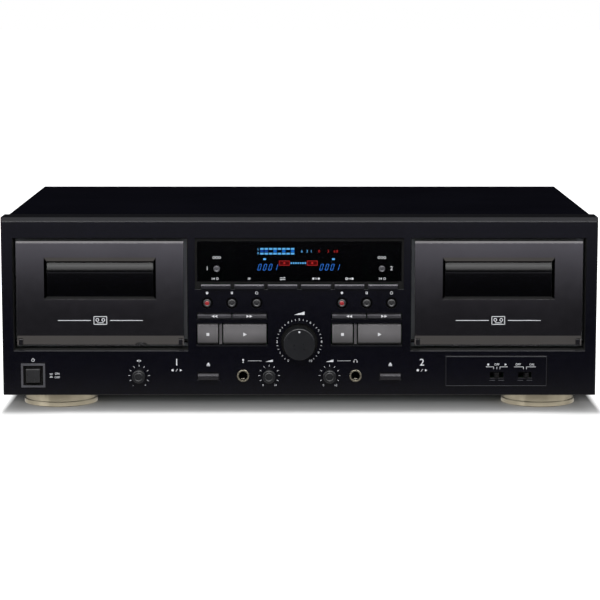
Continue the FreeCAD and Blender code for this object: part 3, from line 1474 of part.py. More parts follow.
def mains_transformer():
    """The mains transformer: its core, and the winding that stands out of it on both sides."""
    left = S.core_offset - S.core_width / 2
    y = face_y + rear_front - S.core_back - S.core_length
    core = solid_box("core", left, y, base_top, S.core_width, S.core_length, S.core_height)
    width = S.core_width - 2 * S.coil_inset
    depth = S.core_length + 2 * S.coil_reach
    height = S.core_height - 2 * S.coil_inset
    low = base_top + S.coil_inset
    coil = solid_box("coil", left + S.coil_inset, y - S.coil_reach, low, width, depth, height)
    transformer = doc.addObject("Part::MultiFuse", "mains_transformer")
    transformer.Shapes = [core, coil]
    return transformer


def build():
    """Makes every piece of the deck and gives the objects that are kept."""
    kept = [front_panel(), top_cover(), chassis_base(), rear_panel(), display_window(), power_inlet()]
    kept += [control_board(), main_board()]
    kept.append(group("feet", [foot(f"foot_{n}", x, depth) for n, (x, depth) in enumerate(foot_places, start=1)]))
    pads = [solid_rod("foot_pad", x, face_y + depth, 0, S.pad_radius, S.pad_thick) for x, depth in foot_places]
    kept.append(group("foot_pads", pads))
    kept.append(group("screws", all_screws()))
    kept.append(group("front_jacks", [front_jack(f"{name}_jack", x) for name, x in JACKS.items()]))
    kept.append(group("transport_frames", [transport_frame(side, x) for side, x in DECKS.items()]))
    kept.append(group("drive_motors", [drive_motor(side, x) for side, x in DECKS.items()]))
    blocks = [socket_block(name, x) for name, x in line_blocks.items()]
    kept.append(group("rear_sockets", blocks + [data_port()]))
    kept += [push_key(item) for item in KEYS]
    kept += [round_button(*item) for item in BUTTONS]
    kept.append(level_knob())
    kept += [trim_knob(label, x) for label, x in TRIMMERS.items()]
    kept += [switch_lever(label, rest) for label, (middle, rest) in LEVERS.items()]
    for side, x in DECKS.items():
        kept += [door(side, x), door_window(side, x)]
        kept += [spindle(side, "supply", x - S.hub_spacing / 2), spindle(side, "takeup", x + S.hub_spacing / 2)]
        kept += [flywheel(side, x), head_plate(side, x), pinch_roller(side, x)]
    return kept


def check(kept):
    """Stops if any object failed or any kept shape isn't sound."""
    doc.recompute()
    for item in doc.Objects:
        if "Invalid" in item.State or "Error" in item.State:
            raise ValueError(f"{item.Label} is {item.State}")
    for item in kept:
        if item.Shape.isNull() or not item.Shape.isValid() or not item.Shape.Solids:
            raise ValueError(f"{item.Label} has no sound shape")


def write(kept):
    """Writes each kept piece to a file of its own."""
    os.makedirs("parts", exist_ok=True)
    for item in kept:
        item.Shape.exportStep(f"parts/{item.Label}.step")
    print(f"{len(kept)} pieces written")


pieces = build()
check(pieces)
write(pieces)
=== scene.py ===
"""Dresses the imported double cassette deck: its finishes, printed marks, lit display and small trim.

Every length is in metres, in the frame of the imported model: +X to the right of the face, +Y back into
the case and +Z up. A piece takes its place from the box of the node that carries it.
"""

import logging
import math
from collections.abc import Sequence
from dataclasses import dataclass, field
from enum import Enum

import bmesh
import bpy
from mathutils import Matrix, Vector


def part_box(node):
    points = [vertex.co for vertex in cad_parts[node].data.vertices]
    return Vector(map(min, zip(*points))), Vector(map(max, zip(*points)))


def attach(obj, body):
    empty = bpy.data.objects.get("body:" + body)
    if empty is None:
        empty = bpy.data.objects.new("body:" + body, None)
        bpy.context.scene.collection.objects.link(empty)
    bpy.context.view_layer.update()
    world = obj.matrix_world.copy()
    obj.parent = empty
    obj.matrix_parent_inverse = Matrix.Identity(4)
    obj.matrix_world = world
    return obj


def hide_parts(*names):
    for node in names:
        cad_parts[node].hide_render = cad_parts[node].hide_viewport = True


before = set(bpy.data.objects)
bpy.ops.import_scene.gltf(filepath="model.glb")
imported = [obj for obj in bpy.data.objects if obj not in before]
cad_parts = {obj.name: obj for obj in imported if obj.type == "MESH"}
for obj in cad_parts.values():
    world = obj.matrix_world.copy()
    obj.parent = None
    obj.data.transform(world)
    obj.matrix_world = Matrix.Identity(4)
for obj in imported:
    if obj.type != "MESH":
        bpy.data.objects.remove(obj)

LOG = logging.getLogger("cassette_deck")
MM = 0.001
SIDES = ("left", "right")
JACK_INSET = 5.5 * MM
PANEL_DEPTH = 26 * MM
ROW_BUTTONS = ("pause", "mute", "record")
SMALL_KEYS = ("left_return_key", "dimmer_key", "repeat_key", "parallel_key", "dub_key", "right_return_key")
BLACK = (0.0, 0.0, 0.0)
WHITE = (1.0, 1.0, 1.0)
# Near black greys painted as shade: in the front moulding's wells, on the doors' back slopes and in the
# jacks' bores.
SHADOW = (0.0015, 0.0015, 0.0015)
PAINTED_DEEP_SHADE = (0.003, 0.003, 0.003)
# Share of a direction along an axis beyond which a surface counts as facing that way.
TILTED = 0.3
# Turned pieces: radius and place along the axis, in millimetres.
CAP_PROFILE = (
    (0, 0.25), (1.0, 0.22), (1.6, 0.1), (1.9, 0.35), (2.3, 0.5),
    (2.75, 0.35), (3.05, 0), (3.05, -0.1), (0, -0.1),
)
LENS_PROFILE = ((0, 0.55), (0.9, 0.5), (1.5, 0.34), (1.8, 0.12), (1.8, 0.02), (0, 0.02))
COLLAR_PROFILE = ((4.25, 0), (5.5, 0), (5.5, 0.9), (5.1, 1.3), (4.25, 1.3))
LIP_SCREW_PROFILE = ((0, -0.2), (3.2, -0.2), (3.2, 0.5), (2.7, 1.1), (1.6, 1.5), (0, 1.6))

Point = tuple[float, float]
Colour = tuple[float, float, float]
Stops = Sequence[tuple[float, Colour]]
Socket = bpy.types.NodeSocket
Material = bpy.types.Material
Shape = bmesh.types.BMesh


def tone(red: int, green: int, blue: int) -> Colour:
    """Turns a colour as a screen shows it, 0 to 255, into linear light.

    Args:
        red: Red share.
        green: Green share.
        blue: Blue share.

    Returns:
        The three shares in linear light, 0 to 1.
    """

    def linear(value: int) -> float:
        """Turns one share into linear light."""
        share = value / 255
        return share / 12.92 if share <= 0.04045 else ((share + 0.055) / 1.055) ** 2.4

    return linear(red), linear(green), linear(blue)


def greys(steps: Sequence[Point], start: float = 0.0, end: float = 1.0) -> Stops:
    """Turns places from start to end, each with a grey, into the stops of a blend."""
    return [((place - start) / (end - start), (grey, grey, grey)) for place, grey in steps]


def in_metres(profile: Sequence[Point], wide: float = 1.0) -> list[Point]:
    """Turns a profile in millimetres into metres, with its radii widened by a share."""
    return [(radius * wide * MM, along * MM) for radius, along in profile]


@dataclass(frozen=True)
class Region:
    """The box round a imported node.

    Attributes:
        low: Its lower left front corner.
        high: Its upper right rear corner.
    """

    low: Vector
    high: Vector

    @classmethod
    def of(cls, node: str) -> "Region":
        """Reads a node's box from the frame."""
        low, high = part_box(node)
        return cls(low, high)

    @property
    def middle(self) -> Vector:
        """The box's middle."""
        return (self.low + self.high) / 2

    @property
    def size(self) -> Vector:
        """The box's three lengths."""
        return self.high - self.low


class Streak(Enum):
    """The way in which a brushed surface is brushed, as stretches along x, y and z."""

    NONE = (1.0, 1.0, 1.0)
    ACROSS = (0.02, 1.0, 1.0)
    BACKWARD = (1.0, 0.02, 1.0)


class Graph:
    """Shader nodes in the making."""

    def __init__(self, tree: bpy.types.NodeTree) -> None:
        """Starts on a node tree.

        Args:
            tree: The tree of a material or of the world.
        """
        self.nodes = tree.nodes
        self.links = tree.links

    def add(self, kind: str, **sockets: object) -> bpy.types.Node:
        """Adds a shader node.

        Args:
            kind: The node's kind, without its prefix.
            **sockets: Values or sockets for its inputs, with underscores for spaces.

        Returns:
            The new node.
        """
        node = self.nodes.new(f"ShaderNode{kind}")
        for label, value in sockets.items():
            self.feed(node.inputs[label.replace("_", " ")], value)
        return node

    def feed(self, socket: Socket, value: object) -> None:
        """Links a socket to another one, or sets its value.

        Args:
            socket: The input that is fed.
            value: The output that it's linked to, or a plain value.
        """
        if isinstance(value, Socket):
            self.links.new(value, socket)
        else:
            socket.default_value = value

    def place(self, stretch: Sequence[float] = (1, 1, 1)) -> Socket:
        """Gives places on the piece, in metres.

        Args:
            stretch: Stretches along x, y and z.

        Returns:
            The places.
        """
        here = self.add("TexCoord").outputs["Object"]
        if tuple(stretch) == (1, 1, 1):
            return here
        return self.add("Mapping", Vector=here, Scale=stretch).outputs["Vector"]

    def noise(self, grain: float, detail: float = 4, stretch: Sequence[float] = (1, 1, 1)) -> Socket:
        """Gives a cloudy pattern.

        Args:
            grain: Width of its clouds in metres.
            detail: How many finer layers it has.
            stretch: Stretches along x, y and z.

        Returns:
            A value from 0 to 1.
        """
        place = self.place(stretch)
        return self.add("TexNoise", Vector=place, Scale=1 / grain, Detail=detail).outputs["Fac"]

    def between(self, factor: Socket, low: float, high: float) -> Socket:
        """Turns a pattern's usual range into the range from low to high."""
        return self.share(factor, 0.3, 0.7, low, high)

    def blend(self, factor: Socket, stops: Stops) -> Socket:
        """Turns a pattern into a colour.

        Args:
            factor: The pattern, from 0 to 1.
            stops: Places from 0 to 1 with the colour there.

        Returns:
            The colour.
        """
        node = self.add("ValToRGB", Fac=factor)
        elements = node.color_ramp.elements
        while len(elements) < len(stops):
            elements.new(0.5)
        for element, (place, colour) in zip(elements, stops):
            element.position = place
            element.color = (*colour, 1)
        return node.outputs["Color"]

    def maths(self, operation: str, value: object, *others: object) -> Socket:
        """Works out one value from several, taking them in one after the other.

        Args:
            operation: What is worked out.
            value: The first value.
            *others: The values after it, or none where the operation needs only one.

        Returns:
            The value.
        """
        for other in others or (0.0,):
            node = self.add("Math")
            node.operation = operation
            self.feed(node.inputs[0], value)
            self.feed(node.inputs[1], other)
            value = node.outputs["Value"]
        return value

    def vector_maths(self, operation: str, first: object, second: object = None) -> bpy.types.Node:
        """Works out a direction or a length from one or two directions.

        Args:
            operation: What is worked out.
            first: The first direction.
            second: The second one, where the operation takes two.

        Returns:
            The node, whose outputs are named Vector and Value.
        """
        node = self.add("VectorMath")
        node.operation = operation
        self.feed(node.inputs[0], first)
        if second is not None:
            self.feed(node.inputs[1], second)
        return node

    def mix(self, factor: object, first: object, second: object) -> Socket:
        """Mixes two colours.

        Args:
            factor: Share of the second colour.
            first: The first colour.
            second: The second colour.

        Returns:
            The mixed colour.
        """
        node = self.add("MixRGB", Fac=factor)
        for socket, colour in ((node.inputs["Color1"], first), (node.inputs["Color2"], second)):
            self.feed(socket, (*colour, 1) if isinstance(colour, tuple) else colour)
        return node.outputs["Color"]

    def share(self, value: object, low: float, high: float, start: float = 0.0, end: float = 1.0) -> Socket:
        """Gives how far a value is on its way from low to high, as a number from start to end."""
        node = self.add("MapRange", Value=value, From_Min=low, From_Max=high, To_Min=start, To_Max=end)
        return node.outputs["Result"]

    def parts(self, vector: Socket) -> tuple[Socket, ...]:
        """Splits a place or a direction into its shares along x, y and z."""
        split = self.add("SeparateXYZ", Vector=vector)
        return split.outputs["X"], split.outputs["Y"], split.outputs["Z"]


class Recipe(Graph):
    """A node material in the making, which ends in a principled surface."""

    def __init__(self, name: str) -> None:
        """Starts a material.

        Args:
            name: Name of the material.
        """
        self.material = bpy.data.materials.new(name)
        self.material.use_nodes = True
        super().__init__(self.material.node_tree)
        self.surface = self.nodes["Principled BSDF"]

    def set(self, **sockets: object) -> None:
        """Sets inputs of the surface itself."""
        for label, value in sockets.items():
            self.feed(self.surface.inputs[label.replace("_", " ")], value)

    def soften(self, radius: float | Socket) -> Socket:
        """Gives the surface's direction as if its edges were rounded.

        Args:
            radius: Radius of the rounded edges.

        Returns:
            The direction.
        """
        rounding = self.add("Bevel", Radius=radius)
        rounding.samples = 4
        return rounding.outputs["Normal"]

    def scatter(self, middle: float, spread: float, grain: float) -> Socket:
        """Gives a roughness that wanders about its middle in clouds as wide as the grain."""
        return self.between(self.noise(grain), middle - spread, middle + spread)

    def wear(self, colour: Socket, worn: Colour, radius: float) -> Socket:
        """Lightens a colour along the edges, where hands and tools rub, broken up by a fine pattern.

        Args:
            colour: The colour of the untouched surface.
            worn: The colour of a rubbed edge.
            radius: How far from an edge the rubbing reaches.

        Returns:
            The colour with its worn edges.
        """
        plain = self.add("NewGeometry").outputs["Normal"]
        turned = self.vector_maths("DOT_PRODUCT", self.soften(radius), plain)
        edge = self.share(turned.outputs["Value"], 0.99, 0.75)
        rubbed = self.maths("MULTIPLY", edge, self.between(self.noise(3 * MM), 0.1, 0.9))
        return self.mix(rubbed, colour, worn)

    def relief(self, height: Socket, depth: float, edge: float | Socket = 0) -> None:
        """Gives the surface a fine relief.

        Args:
            height: The pattern of the relief.
            depth: How deep it is.
            edge: Radius to which edges are softened, or 0 to leave them.
        """
        bump = self.add("Bump", Height=height, Distance=depth)
        if edge:
            self.feed(bump.inputs["Normal"], self.soften(edge))
        self.set(Normal=bump.outputs["Normal"])


@dataclass(frozen=True)
class Finish:
    """What every finish is made from.

    Attributes:
        name: Name of the material.
        colour: Its main colour.
    """

    name: str
    colour: Colour

    def shade(self, by: float) -> Colour:
        """Gives the main colour with its shares multiplied, and none of them over 1."""
        return tuple(min(1.0, share * by) for share in self.colour)

    def paint(self, recipe: Recipe) -> None:
        """Lays the finish on a material's surface, which every kind of finish does in its own way."""
        raise NotImplementedError

    def make(self) -> Material:
        """Makes the material.

        Returns:
            The material.
        """
        recipe = Recipe(self.name)
        self.paint(recipe)
        return recipe.material


@dataclass(frozen=True)
class Fade:
    """Painted shade: a tone that falls off towards the lower edge of a piece.

    Attributes:
        foot: Height of that edge.
        steps: Heights over it, each with the tone's share there.
    """

    foot: float
    steps: tuple[Point, ...]


@dataclass(frozen=True)
class Sunk:
    """Shade painted on the part of a piece that lies back from a front, and on its walls to the side: there
    it is dull and painted black.

    Attributes:
        depth: Place in depth behind which it lies.
        half: Half the width within which that holds.
        top: Height under which that holds.
    """

    depth: float
    half: float = 1.0
    top: float = 1.0


@dataclass(frozen=True)
class Crown:
    """Softer edges along the top of a piece.

    Attributes:
        low: Height under which the edges stay as they are.
        high: Height over which they are at their softest.
        edge: Radius of the softest edges.
    """

    low: float
    high: float
    edge: float


@dataclass(frozen=True)
class Moulding(Finish):
    """Moulded plastic with a spark-eroded grain, slightly uneven in tone and gloss.

    Attributes:
        roughness: Its middle roughness.
        shine: Strength of its gloss.
        uneven: How much the tone changes from place to place.
        grain: Width of the grain.
        depth: Depth of the grain.
        edge: Radius of its softened edges.
        metallic: Share of metal flakes.
        worn: How much lighter a rubbed edge is.
        fade: Where painted shade darkens the tone towards the lower edge, if anywhere.
        crown: Where the edges are softer, if anywhere.
        sunk: Where shade is painted black on it where it lies back, if anywhere.
    """

    roughness: float = 0.42
    shine: float = 0.5
    uneven: float = 0.12
    grain: float = 0.35 * MM
    depth: float = 0.012 * MM
    edge: float = 0.25 * MM
    metallic: float = 0.0
    worn: float = 1.9
    fade: Fade | None = None
    crown: Crown | None = None
    sunk: Sunk | None = None

    def paint(self, recipe: Recipe) -> None:
        """Lays the finish on a material's surface.

        Args:
            recipe: The material in the making.
        """
        cloud = recipe.noise(18 * MM, 3)
        dark = self.shade(1 - self.uneven)
        light = self.shade(1 + self.uneven)
        rubbed = self.shade(self.worn)
        tint = recipe.wear(recipe.blend(cloud, [(0.3, dark), (0.7, light)]), rubbed, 2 * self.edge)
        x, y, z = recipe.parts(recipe.place())
        # Painted shade: the tone darkens in steps towards the piece's lower edge.
        if self.fade:
            high = self.fade.steps[-1][0]
            rise = recipe.share(z, self.fade.foot, self.fade.foot + high)
            tint = recipe.mix(recipe.blend(rise, greys(self.fade.steps, 0.0, high)), BLACK, tint)
        rough = recipe.scatter(self.roughness, 0.03, 4 * MM)
        # Painted shade: what lies back behind the front, and the side walls of the wells, is painted near
        # black and made dull.
        if self.sunk:
            painted_well_shade = recipe.maths("GREATER_THAN", y, self.sunk.depth)
            within = recipe.maths("LESS_THAN", recipe.maths("ABSOLUTE", x), self.sunk.half)
            under = recipe.maths("LESS_THAN", z, self.sunk.top)
            aside = recipe.parts(recipe.add("TexCoord").outputs["Normal"])[0]
            wall = recipe.maths("GREATER_THAN", recipe.maths("ABSOLUTE", aside), TILTED)
            painted_well_shade = recipe.maths("MULTIPLY", recipe.maths("MAXIMUM", painted_well_shade, wall), within, under)
            tint = recipe.mix(painted_well_shade, tint, SHADOW)
            rough = recipe.maths("MAXIMUM", rough, painted_well_shade)
        recipe.set(Base_Color=tint, Metallic=self.metallic, Roughness=rough)
        recipe.set(Specular_IOR_Level=self.shine)
        edge = self.edge
        if self.crown:
            edge = recipe.share(z, self.crown.low, self.crown.high, self.edge, self.crown.edge)
        recipe.relief(recipe.noise(self.grain, 2), self.depth, edge)


@dataclass(frozen=True)
class DoorLacquer(Finish):
    """Dark metallic lacquer on a door's front, with shade painted black on the slopes beside and under its
    window.

    Attributes:
        top: Height of the door's upper edge, whose bevel is lacquered too.
        behind: Place in depth behind which the door is painted black as shade.
        lugs: From the deck's middle to a door's middle, and from there to its lugs, which get a painted
            reflection in the chin's tone.
        low: Height of the lugs' upper side.
        roughness: How much the flakes scatter.
        bevel: Height of the upper edge's bevel.
        lug: Colour of the lugs: a painted reflection, the warm grey that the chin mirrors, without metal.
    """

    top: float
    behind: float
    lugs: Point
    low: float
    roughness: float = 0.11
    bevel: float = 3 * MM
    lug: Colour = tone(74, 71, 70)

    def paint(self, recipe: Recipe) -> None:
        """Lays the finish on a material's surface.

        Args:
            recipe: The material in the making.
        """
        cloud = recipe.noise(40 * MM, 2)
        flakes = recipe.noise(0.25 * MM, 2)
        dull = self.shade(0.95)
        bright = self.shade(1.05)
        lacquer = recipe.wear(recipe.blend(cloud, [(0.35, dull), (0.65, bright)]), bright, 0.5 * MM)
        across, _, up = recipe.parts(recipe.add("TexCoord").outputs["Normal"])
        x, y, z = recipe.parts(recipe.place())
        # Painted shade: the slopes beside and under the window, and all behind the front, are painted near
        # black.
        side = recipe.maths("GREATER_THAN", recipe.maths("ABSOLUTE", across), TILTED)
        under = recipe.maths("LESS_THAN", z, self.top - self.bevel)
        sill = recipe.maths("MULTIPLY", recipe.maths("GREATER_THAN", up, TILTED), under)
        inner = recipe.maths("GREATER_THAN", y, self.behind)
        painted_door_shade = recipe.maths("MAXIMUM", side, sill, inner)
        # Painted reflection: the lugs at the lower corners get the chin's mirrored warm grey as a flat colour
        # without metal.
        off = recipe.maths("SUBTRACT", recipe.maths("ABSOLUTE", x), self.lugs[0])
        beside = recipe.maths("GREATER_THAN", recipe.maths("ABSOLUTE", off), self.lugs[1])
        outer = recipe.maths("SUBTRACT", 1.0, inner)
        lug = recipe.maths("MULTIPLY", beside, recipe.maths("LESS_THAN", z, self.low), outer)
        tint = recipe.mix(lug, recipe.mix(painted_door_shade, lacquer, PAINTED_DEEP_SHADE), self.lug)
        recipe.set(Base_Color=tint, Metallic=recipe.maths("SUBTRACT", 1.0, lug))
        recipe.set(Roughness=recipe.scatter(self.roughness, 0.015, 6 * MM))
        recipe.relief(flakes, 0.002 * MM, 0.12 * MM)


@dataclass(frozen=True)
class Brushed(Finish):
    """Metal with fine straight streaks.

    Attributes:
        streak: Which way they run.
        roughness: How dull it is.
        depth: Depth of the streaks.
    """

    streak: Streak = Streak.ACROSS
    roughness: float = 0.3
    depth: float = 0.006 * MM

    def paint(self, recipe: Recipe) -> None:
        """Lays the finish on a material's surface.

        Args:
            recipe: The material in the making.
        """
        lines = recipe.noise(0.25 * MM, 6, self.streak.value)
        dark = self.shade(0.82)
        light = self.shade(1.3)
        tint = recipe.wear(recipe.blend(lines, [(0.3, dark), (0.7, self.colour)]), light, 0.4 * MM)
        recipe.set(Base_Color=tint, Metallic=1.0, Roughness=recipe.scatter(self.roughness, 0.06, 9 * MM))
        recipe.relief(lines, self.depth, 0.15 * MM)


@dataclass(frozen=True)
class FootMetal(Finish):
    """Champagne plating over rings cut round a foot, which draw its highlights out upwards.

    Attributes:
        roughness: How dull it is.
        stretch: How much longer its highlights are upwards than across.
    """

    roughness: float = 0.34
    stretch: float = 0.9

    def paint(self, recipe: Recipe) -> None:
        """Lays the finish on a material's surface.

        Args:
            recipe: The material in the making.
        """
        rings = recipe.noise(0.3 * MM, 4, (0.02, 0.02, 1.0))
        dark = self.shade(0.9)
        light = self.shade(1.2)
        plated = recipe.wear(recipe.blend(rings, [(0.3, dark), (0.7, self.colour)]), light, 0.5 * MM)
        recipe.set(Base_Color=plated, Metallic=1.0, Anisotropic=self.stretch)
        recipe.set(Roughness=recipe.scatter(self.roughness, 0.03, 9 * MM))
        recipe.set(Tangent=recipe.add("CombineXYZ", Z=1.0).outputs["Vector"])
        recipe.relief(rings, 0.002 * MM, 0.4 * MM)


@dataclass(frozen=True)
class JackMetal(Finish):
    """The plated collars of the two jacks, with shade painted near black inside their bores.

    Attributes:
        across: From the middle of the deck to a jack's axis.
        level: Height of the axis.
        bore: Radius of the bore.
    """

    across: float
    level: float
    bore: float = 3.3 * MM

    def paint(self, recipe: Recipe) -> None:
        """Lays the finish on a material's surface.

        Args:
            recipe: The material in the making.
        """
        x, _, z = recipe.parts(recipe.place())
        beside = recipe.maths("SUBTRACT", recipe.maths("ABSOLUTE", x), self.across)
        above = recipe.maths("SUBTRACT", z, self.level)
        away = recipe.vector_maths("LENGTH", recipe.add("CombineXYZ", X=beside, Z=above).outputs["Vector"])
        # Painted shade: inside the bore the collar is painted near black.
        inside = recipe.maths("LESS_THAN", away.outputs["Value"], self.bore)
        rings = recipe.noise(0.3 * MM, 3)
        dark = self.shade(0.8)
        plated = recipe.wear(recipe.blend(rings, [(0.3, dark), (0.7, self.colour)]), self.colour, 0.3 * MM)
        recipe.set(Base_Color=recipe.mix(inside, plated, PAINTED_DEEP_SHADE), Metallic=1.0)
        recipe.set(Roughness=recipe.scatter(0.25, 0.05, 2 * MM))
        recipe.relief(rings, 0.004 * MM, 0.3 * MM)


@dataclass(frozen=True)
class Turned(Finish):
    """Metal turned on a lathe, with fine rings.

    Attributes:
        centre: A point on the axis that the rings run round.
        axis: Letter of that axis.
        roughness: How dull it is.
        ring: Spacing of the rings.
        depth: Depth of the rings.
    """

    centre: Vector
    axis: str = "Z"
    roughness: float = 0.28
    ring: float = 0.3 * MM
    depth: float = 0.01 * MM

    def paint(self, recipe: Recipe) -> None:
        """Lays the finish on a material's surface.

        Args:
            recipe: The material in the making.
        """
        keep = tuple(0.0 if letter == self.axis else 1.0 for letter in "XYZ")
        moved = recipe.vector_maths("SUBTRACT", recipe.place(), self.centre).outputs["Vector"]
        flat = recipe.vector_maths("MULTIPLY", moved, keep).outputs["Vector"]
        along = recipe.vector_maths("MULTIPLY", moved, tuple(1 - share for share in keep)).outputs["Vector"]
        radius = recipe.vector_maths("LENGTH", flat).outputs["Value"]
        rings = recipe.add("CombineXYZ", X=radius).outputs["Vector"]
        both = recipe.vector_maths("ADD", rings, along).outputs["Vector"]
        lines = recipe.add("TexNoise", Vector=both, Scale=1 / self.ring, Detail=5).outputs["Fac"]
        dark = self.shade(0.8)
        recipe.set(Base_Color=recipe.blend(lines, [(0.3, dark), (0.7, self.colour)]), Metallic=1.0)
        recipe.set(Roughness=recipe.scatter(self.roughness, 0.05, 7 * MM))
        recipe.relief(lines, self.depth, 0.2 * MM)


@dataclass(frozen=True)
class Pane(Finish):
    """Smoked clear plastic, polished, with the faintest wipe marks.

    Attributes:
        hides: Share of what lies behind that it hides.
        shine: Strength of its gloss.
        roughness: How dull it is where it is cleanest.
    """

    hides: float
    shine: float = 0.5
    roughness: float = 0.05

    def paint(self, recipe: Recipe) -> None:
        """Lays the finish on a material's surface.

        Args:
            recipe: The material in the making.
        """
        cloud = recipe.noise(30 * MM, 2)
        light = self.shade(1.3)
        rubbed = (0.05, 0.05, 0.055)
        tint = recipe.wear(recipe.blend(cloud, [(0.3, self.colour), (0.7, light)]), rubbed, 0.3 * MM)
        wiped = recipe.between(recipe.noise(6 * MM, 5, (1, 1, 4)), self.roughness, self.roughness + 0.03)
        recipe.set(Base_Color=tint, Alpha=self.hides, Roughness=wiped, Specular_IOR_Level=self.shine)
        recipe.relief(recipe.noise(12 * MM, 1), 0.002 * MM, 0.2 * MM)


@dataclass(frozen=True)
class Rubber(Finish):
    """Dull rubber with a fine bloom.

    Attributes:
        grain: Width of its grain.
    """

    grain: float = 0.6 * MM

    def paint(self, recipe: Recipe) -> None:
        """Lays the finish on a material's surface.

        Args:
            recipe: The material in the making.
        """
        bloom = recipe.noise(5 * MM)
        light = self.shade(1.8)
        recipe.set(Base_Color=recipe.blend(bloom, [(0.35, self.colour), (0.8, light)]))
        recipe.set(Roughness=recipe.between(bloom, 0.7, 0.85), Specular_IOR_Level=0.25)
        recipe.relief(recipe.noise(self.grain, 3), 0.03 * MM, 0.3 * MM)


@dataclass(frozen=True)
class Powder(Finish):
    """Powder paint on sheet steel, with its fine orange peel.

    Attributes:
        roughness: How dull it is.
        shine: Strength of its gloss.
        peel: Width of the orange peel.
    """

    roughness: float = 0.55
    shine: float = 0.3
    peel: float = 0.9 * MM

    def paint(self, recipe: Recipe) -> None:
        """Lays the finish on a material's surface.

        Args:
            recipe: The material in the making.
        """
        cloud = recipe.noise(60 * MM, 3)
        light = self.shade(1.25)
        rubbed = self.shade(2.5)
        painted = recipe.wear(recipe.blend(cloud, [(0.3, self.colour), (0.7, light)]), rubbed, 0.8 * MM)
        recipe.set(Base_Color=painted, Specular_IOR_Level=self.shine)
        recipe.set(Roughness=recipe.scatter(self.roughness, 0.05, 2 * MM))
        recipe.relief(recipe.noise(self.peel, 2), 0.02 * MM, 0.4 * MM)


@dataclass(frozen=True)
class Lacquer(Finish):
    """A circuit board's solder mask, with copper tracks under it and black parts on it.

    Attributes:
        axis: The axis along which the parts stand on the board.
        start: Lowest place of the parts along that axis.
        end: Highest place of the parts along that axis.
        track: Spacing of the tracks.
    """

    axis: int
    start: float
    end: float
    track: float = 5 * MM

    def paint(self, recipe: Recipe) -> None:
        """Lays the finish on a material's surface.

        Args:
            recipe: The material in the making.
        """
        along = recipe.parts(recipe.place())[self.axis]
        after = recipe.maths("GREATER_THAN", along, self.start)
        part = recipe.maths("MULTIPLY", after, recipe.maths("LESS_THAN", along, self.end))
        cells = recipe.add("TexVoronoi", Vector=recipe.place(), Scale=1 / self.track)
        cells.distance = "CHEBYCHEV"
        cells.feature = "F1"
        light = self.shade(2.2)
        stops = [(0.0, self.colour), (0.42, self.colour), (0.5, light)]
        mask = recipe.blend(cells.outputs["Distance"], stops)
        recipe.set(Base_Color=recipe.mix(part, mask, (0.0015, 0.0015, 0.002)), Roughness=0.35)
        recipe.relief(cells.outputs["Distance"], 0.03 * MM)


@dataclass(frozen=True)
class InkFilm(Finish):
    """Screen-printed ink, a little uneven, also laid as lines of painted highlight along some edges."""

    def paint(self, recipe: Recipe) -> None:
        """Lays the finish on a material's surface.

        Args:
            recipe: The material in the making.
        """
        cloud = recipe.noise(0.8 * MM, 3)
        thin = self.shade(0.85)
        recipe.set(Base_Color=recipe.blend(cloud, [(0.3, thin), (0.6, self.colour)]), Roughness=0.6)
        recipe.set(Specular_IOR_Level=0.2)
        recipe.relief(cloud, 0.004 * MM)


@dataclass(frozen=True)
class Phosphor(Finish):
    """Lit phosphor with its fine dots.

    Attributes:
        strength: How brightly it's lit.
    """

    strength: float = 3.0

    def paint(self, recipe: Recipe) -> None:
        """Lays the finish on a material's surface.

        Args:
            recipe: The material in the making.
        """
        dots = recipe.noise(0.3 * MM, 2)
        dim = self.shade(0.7)
        glow = recipe.blend(dots, [(0.3, dim), (0.6, self.colour)])
        recipe.set(Base_Color=(0.02, 0.02, 0.02, 1), Emission_Color=glow, Emission_Strength=self.strength)


def dress(node: str, material: Material) -> None:
    """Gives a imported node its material.

    Args:
        node: The node.
        material: The material.
    """
    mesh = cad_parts[node].data
    mesh.materials.clear()
    mesh.materials.append(material)
    LOG.info("%s wears %s", node, material.name)


def add_piece(
    name: str, shape: Shape, material: Material, body: str, crease: float = 35
) -> bpy.types.Object:
    """Turns a shape into a piece that rides on a body.

    Args:
        name: Name of the piece.
        shape: The shape, which is freed.
        material: Its material.
        body: Name of the body that it rides on.
        crease: Angle in degrees beyond which an edge stays sharp.

    Returns:
        The new object.
    """
    bmesh.ops.recalc_face_normals(shape, faces=shape.faces)
    mesh = bpy.data.meshes.new(name)
    shape.to_mesh(mesh)
    shape.free()
    mesh.materials.append(material)
    mesh.shade_smooth()
    mesh.set_sharp_from_angle(angle=math.radians(crease))
    item = bpy.data.objects.new(name, mesh)
    bpy.context.scene.collection.objects.link(item)
    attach(item, body)
    LOG.info("%s rides on %s", name, body)
    return item


def ring_point(x: float, z: float, radius: float, angle: float) -> Point:
    """The point at an angle, in radians, on a circle about a middle point."""
    return x + radius * math.cos(angle), z + radius * math.sin(angle)


def ring_points(x: float, z: float, radius: float, count: int = 32) -> list[Point]:
    """Points round a circle."""
    return [ring_point(x, z, radius, 2 * math.pi * step / count) for step in range(count)]


@dataclass(frozen=True)
class Disc:
    """A filled circle, in shares of a symbol's size."""

    x: float
    z: float
    radius: float


@dataclass(frozen=True)
class Hoop:
    """A circle line, in shares of a symbol's size."""

    x: float
    z: float
    radius: float
    line: float = 0.1


@dataclass(frozen=True)
class Patch:
    """A filled outline, in shares of a symbol's size."""

    points: tuple[Point, ...]


@dataclass(frozen=True)
class Bar:
    """A straight line with a width, in shares of a symbol's size."""

    start: Point
    end: Point
    line: float = 0.1


Stroke = Disc | Hoop | Patch | Bar


def wedge(x: float, width: float, height: float) -> Patch:
    """A triangle that points right, or left where its width is negative, about a place on the middle line."""
    return Patch(((x, height / 2), (x, -height / 2), (x + width, 0)))


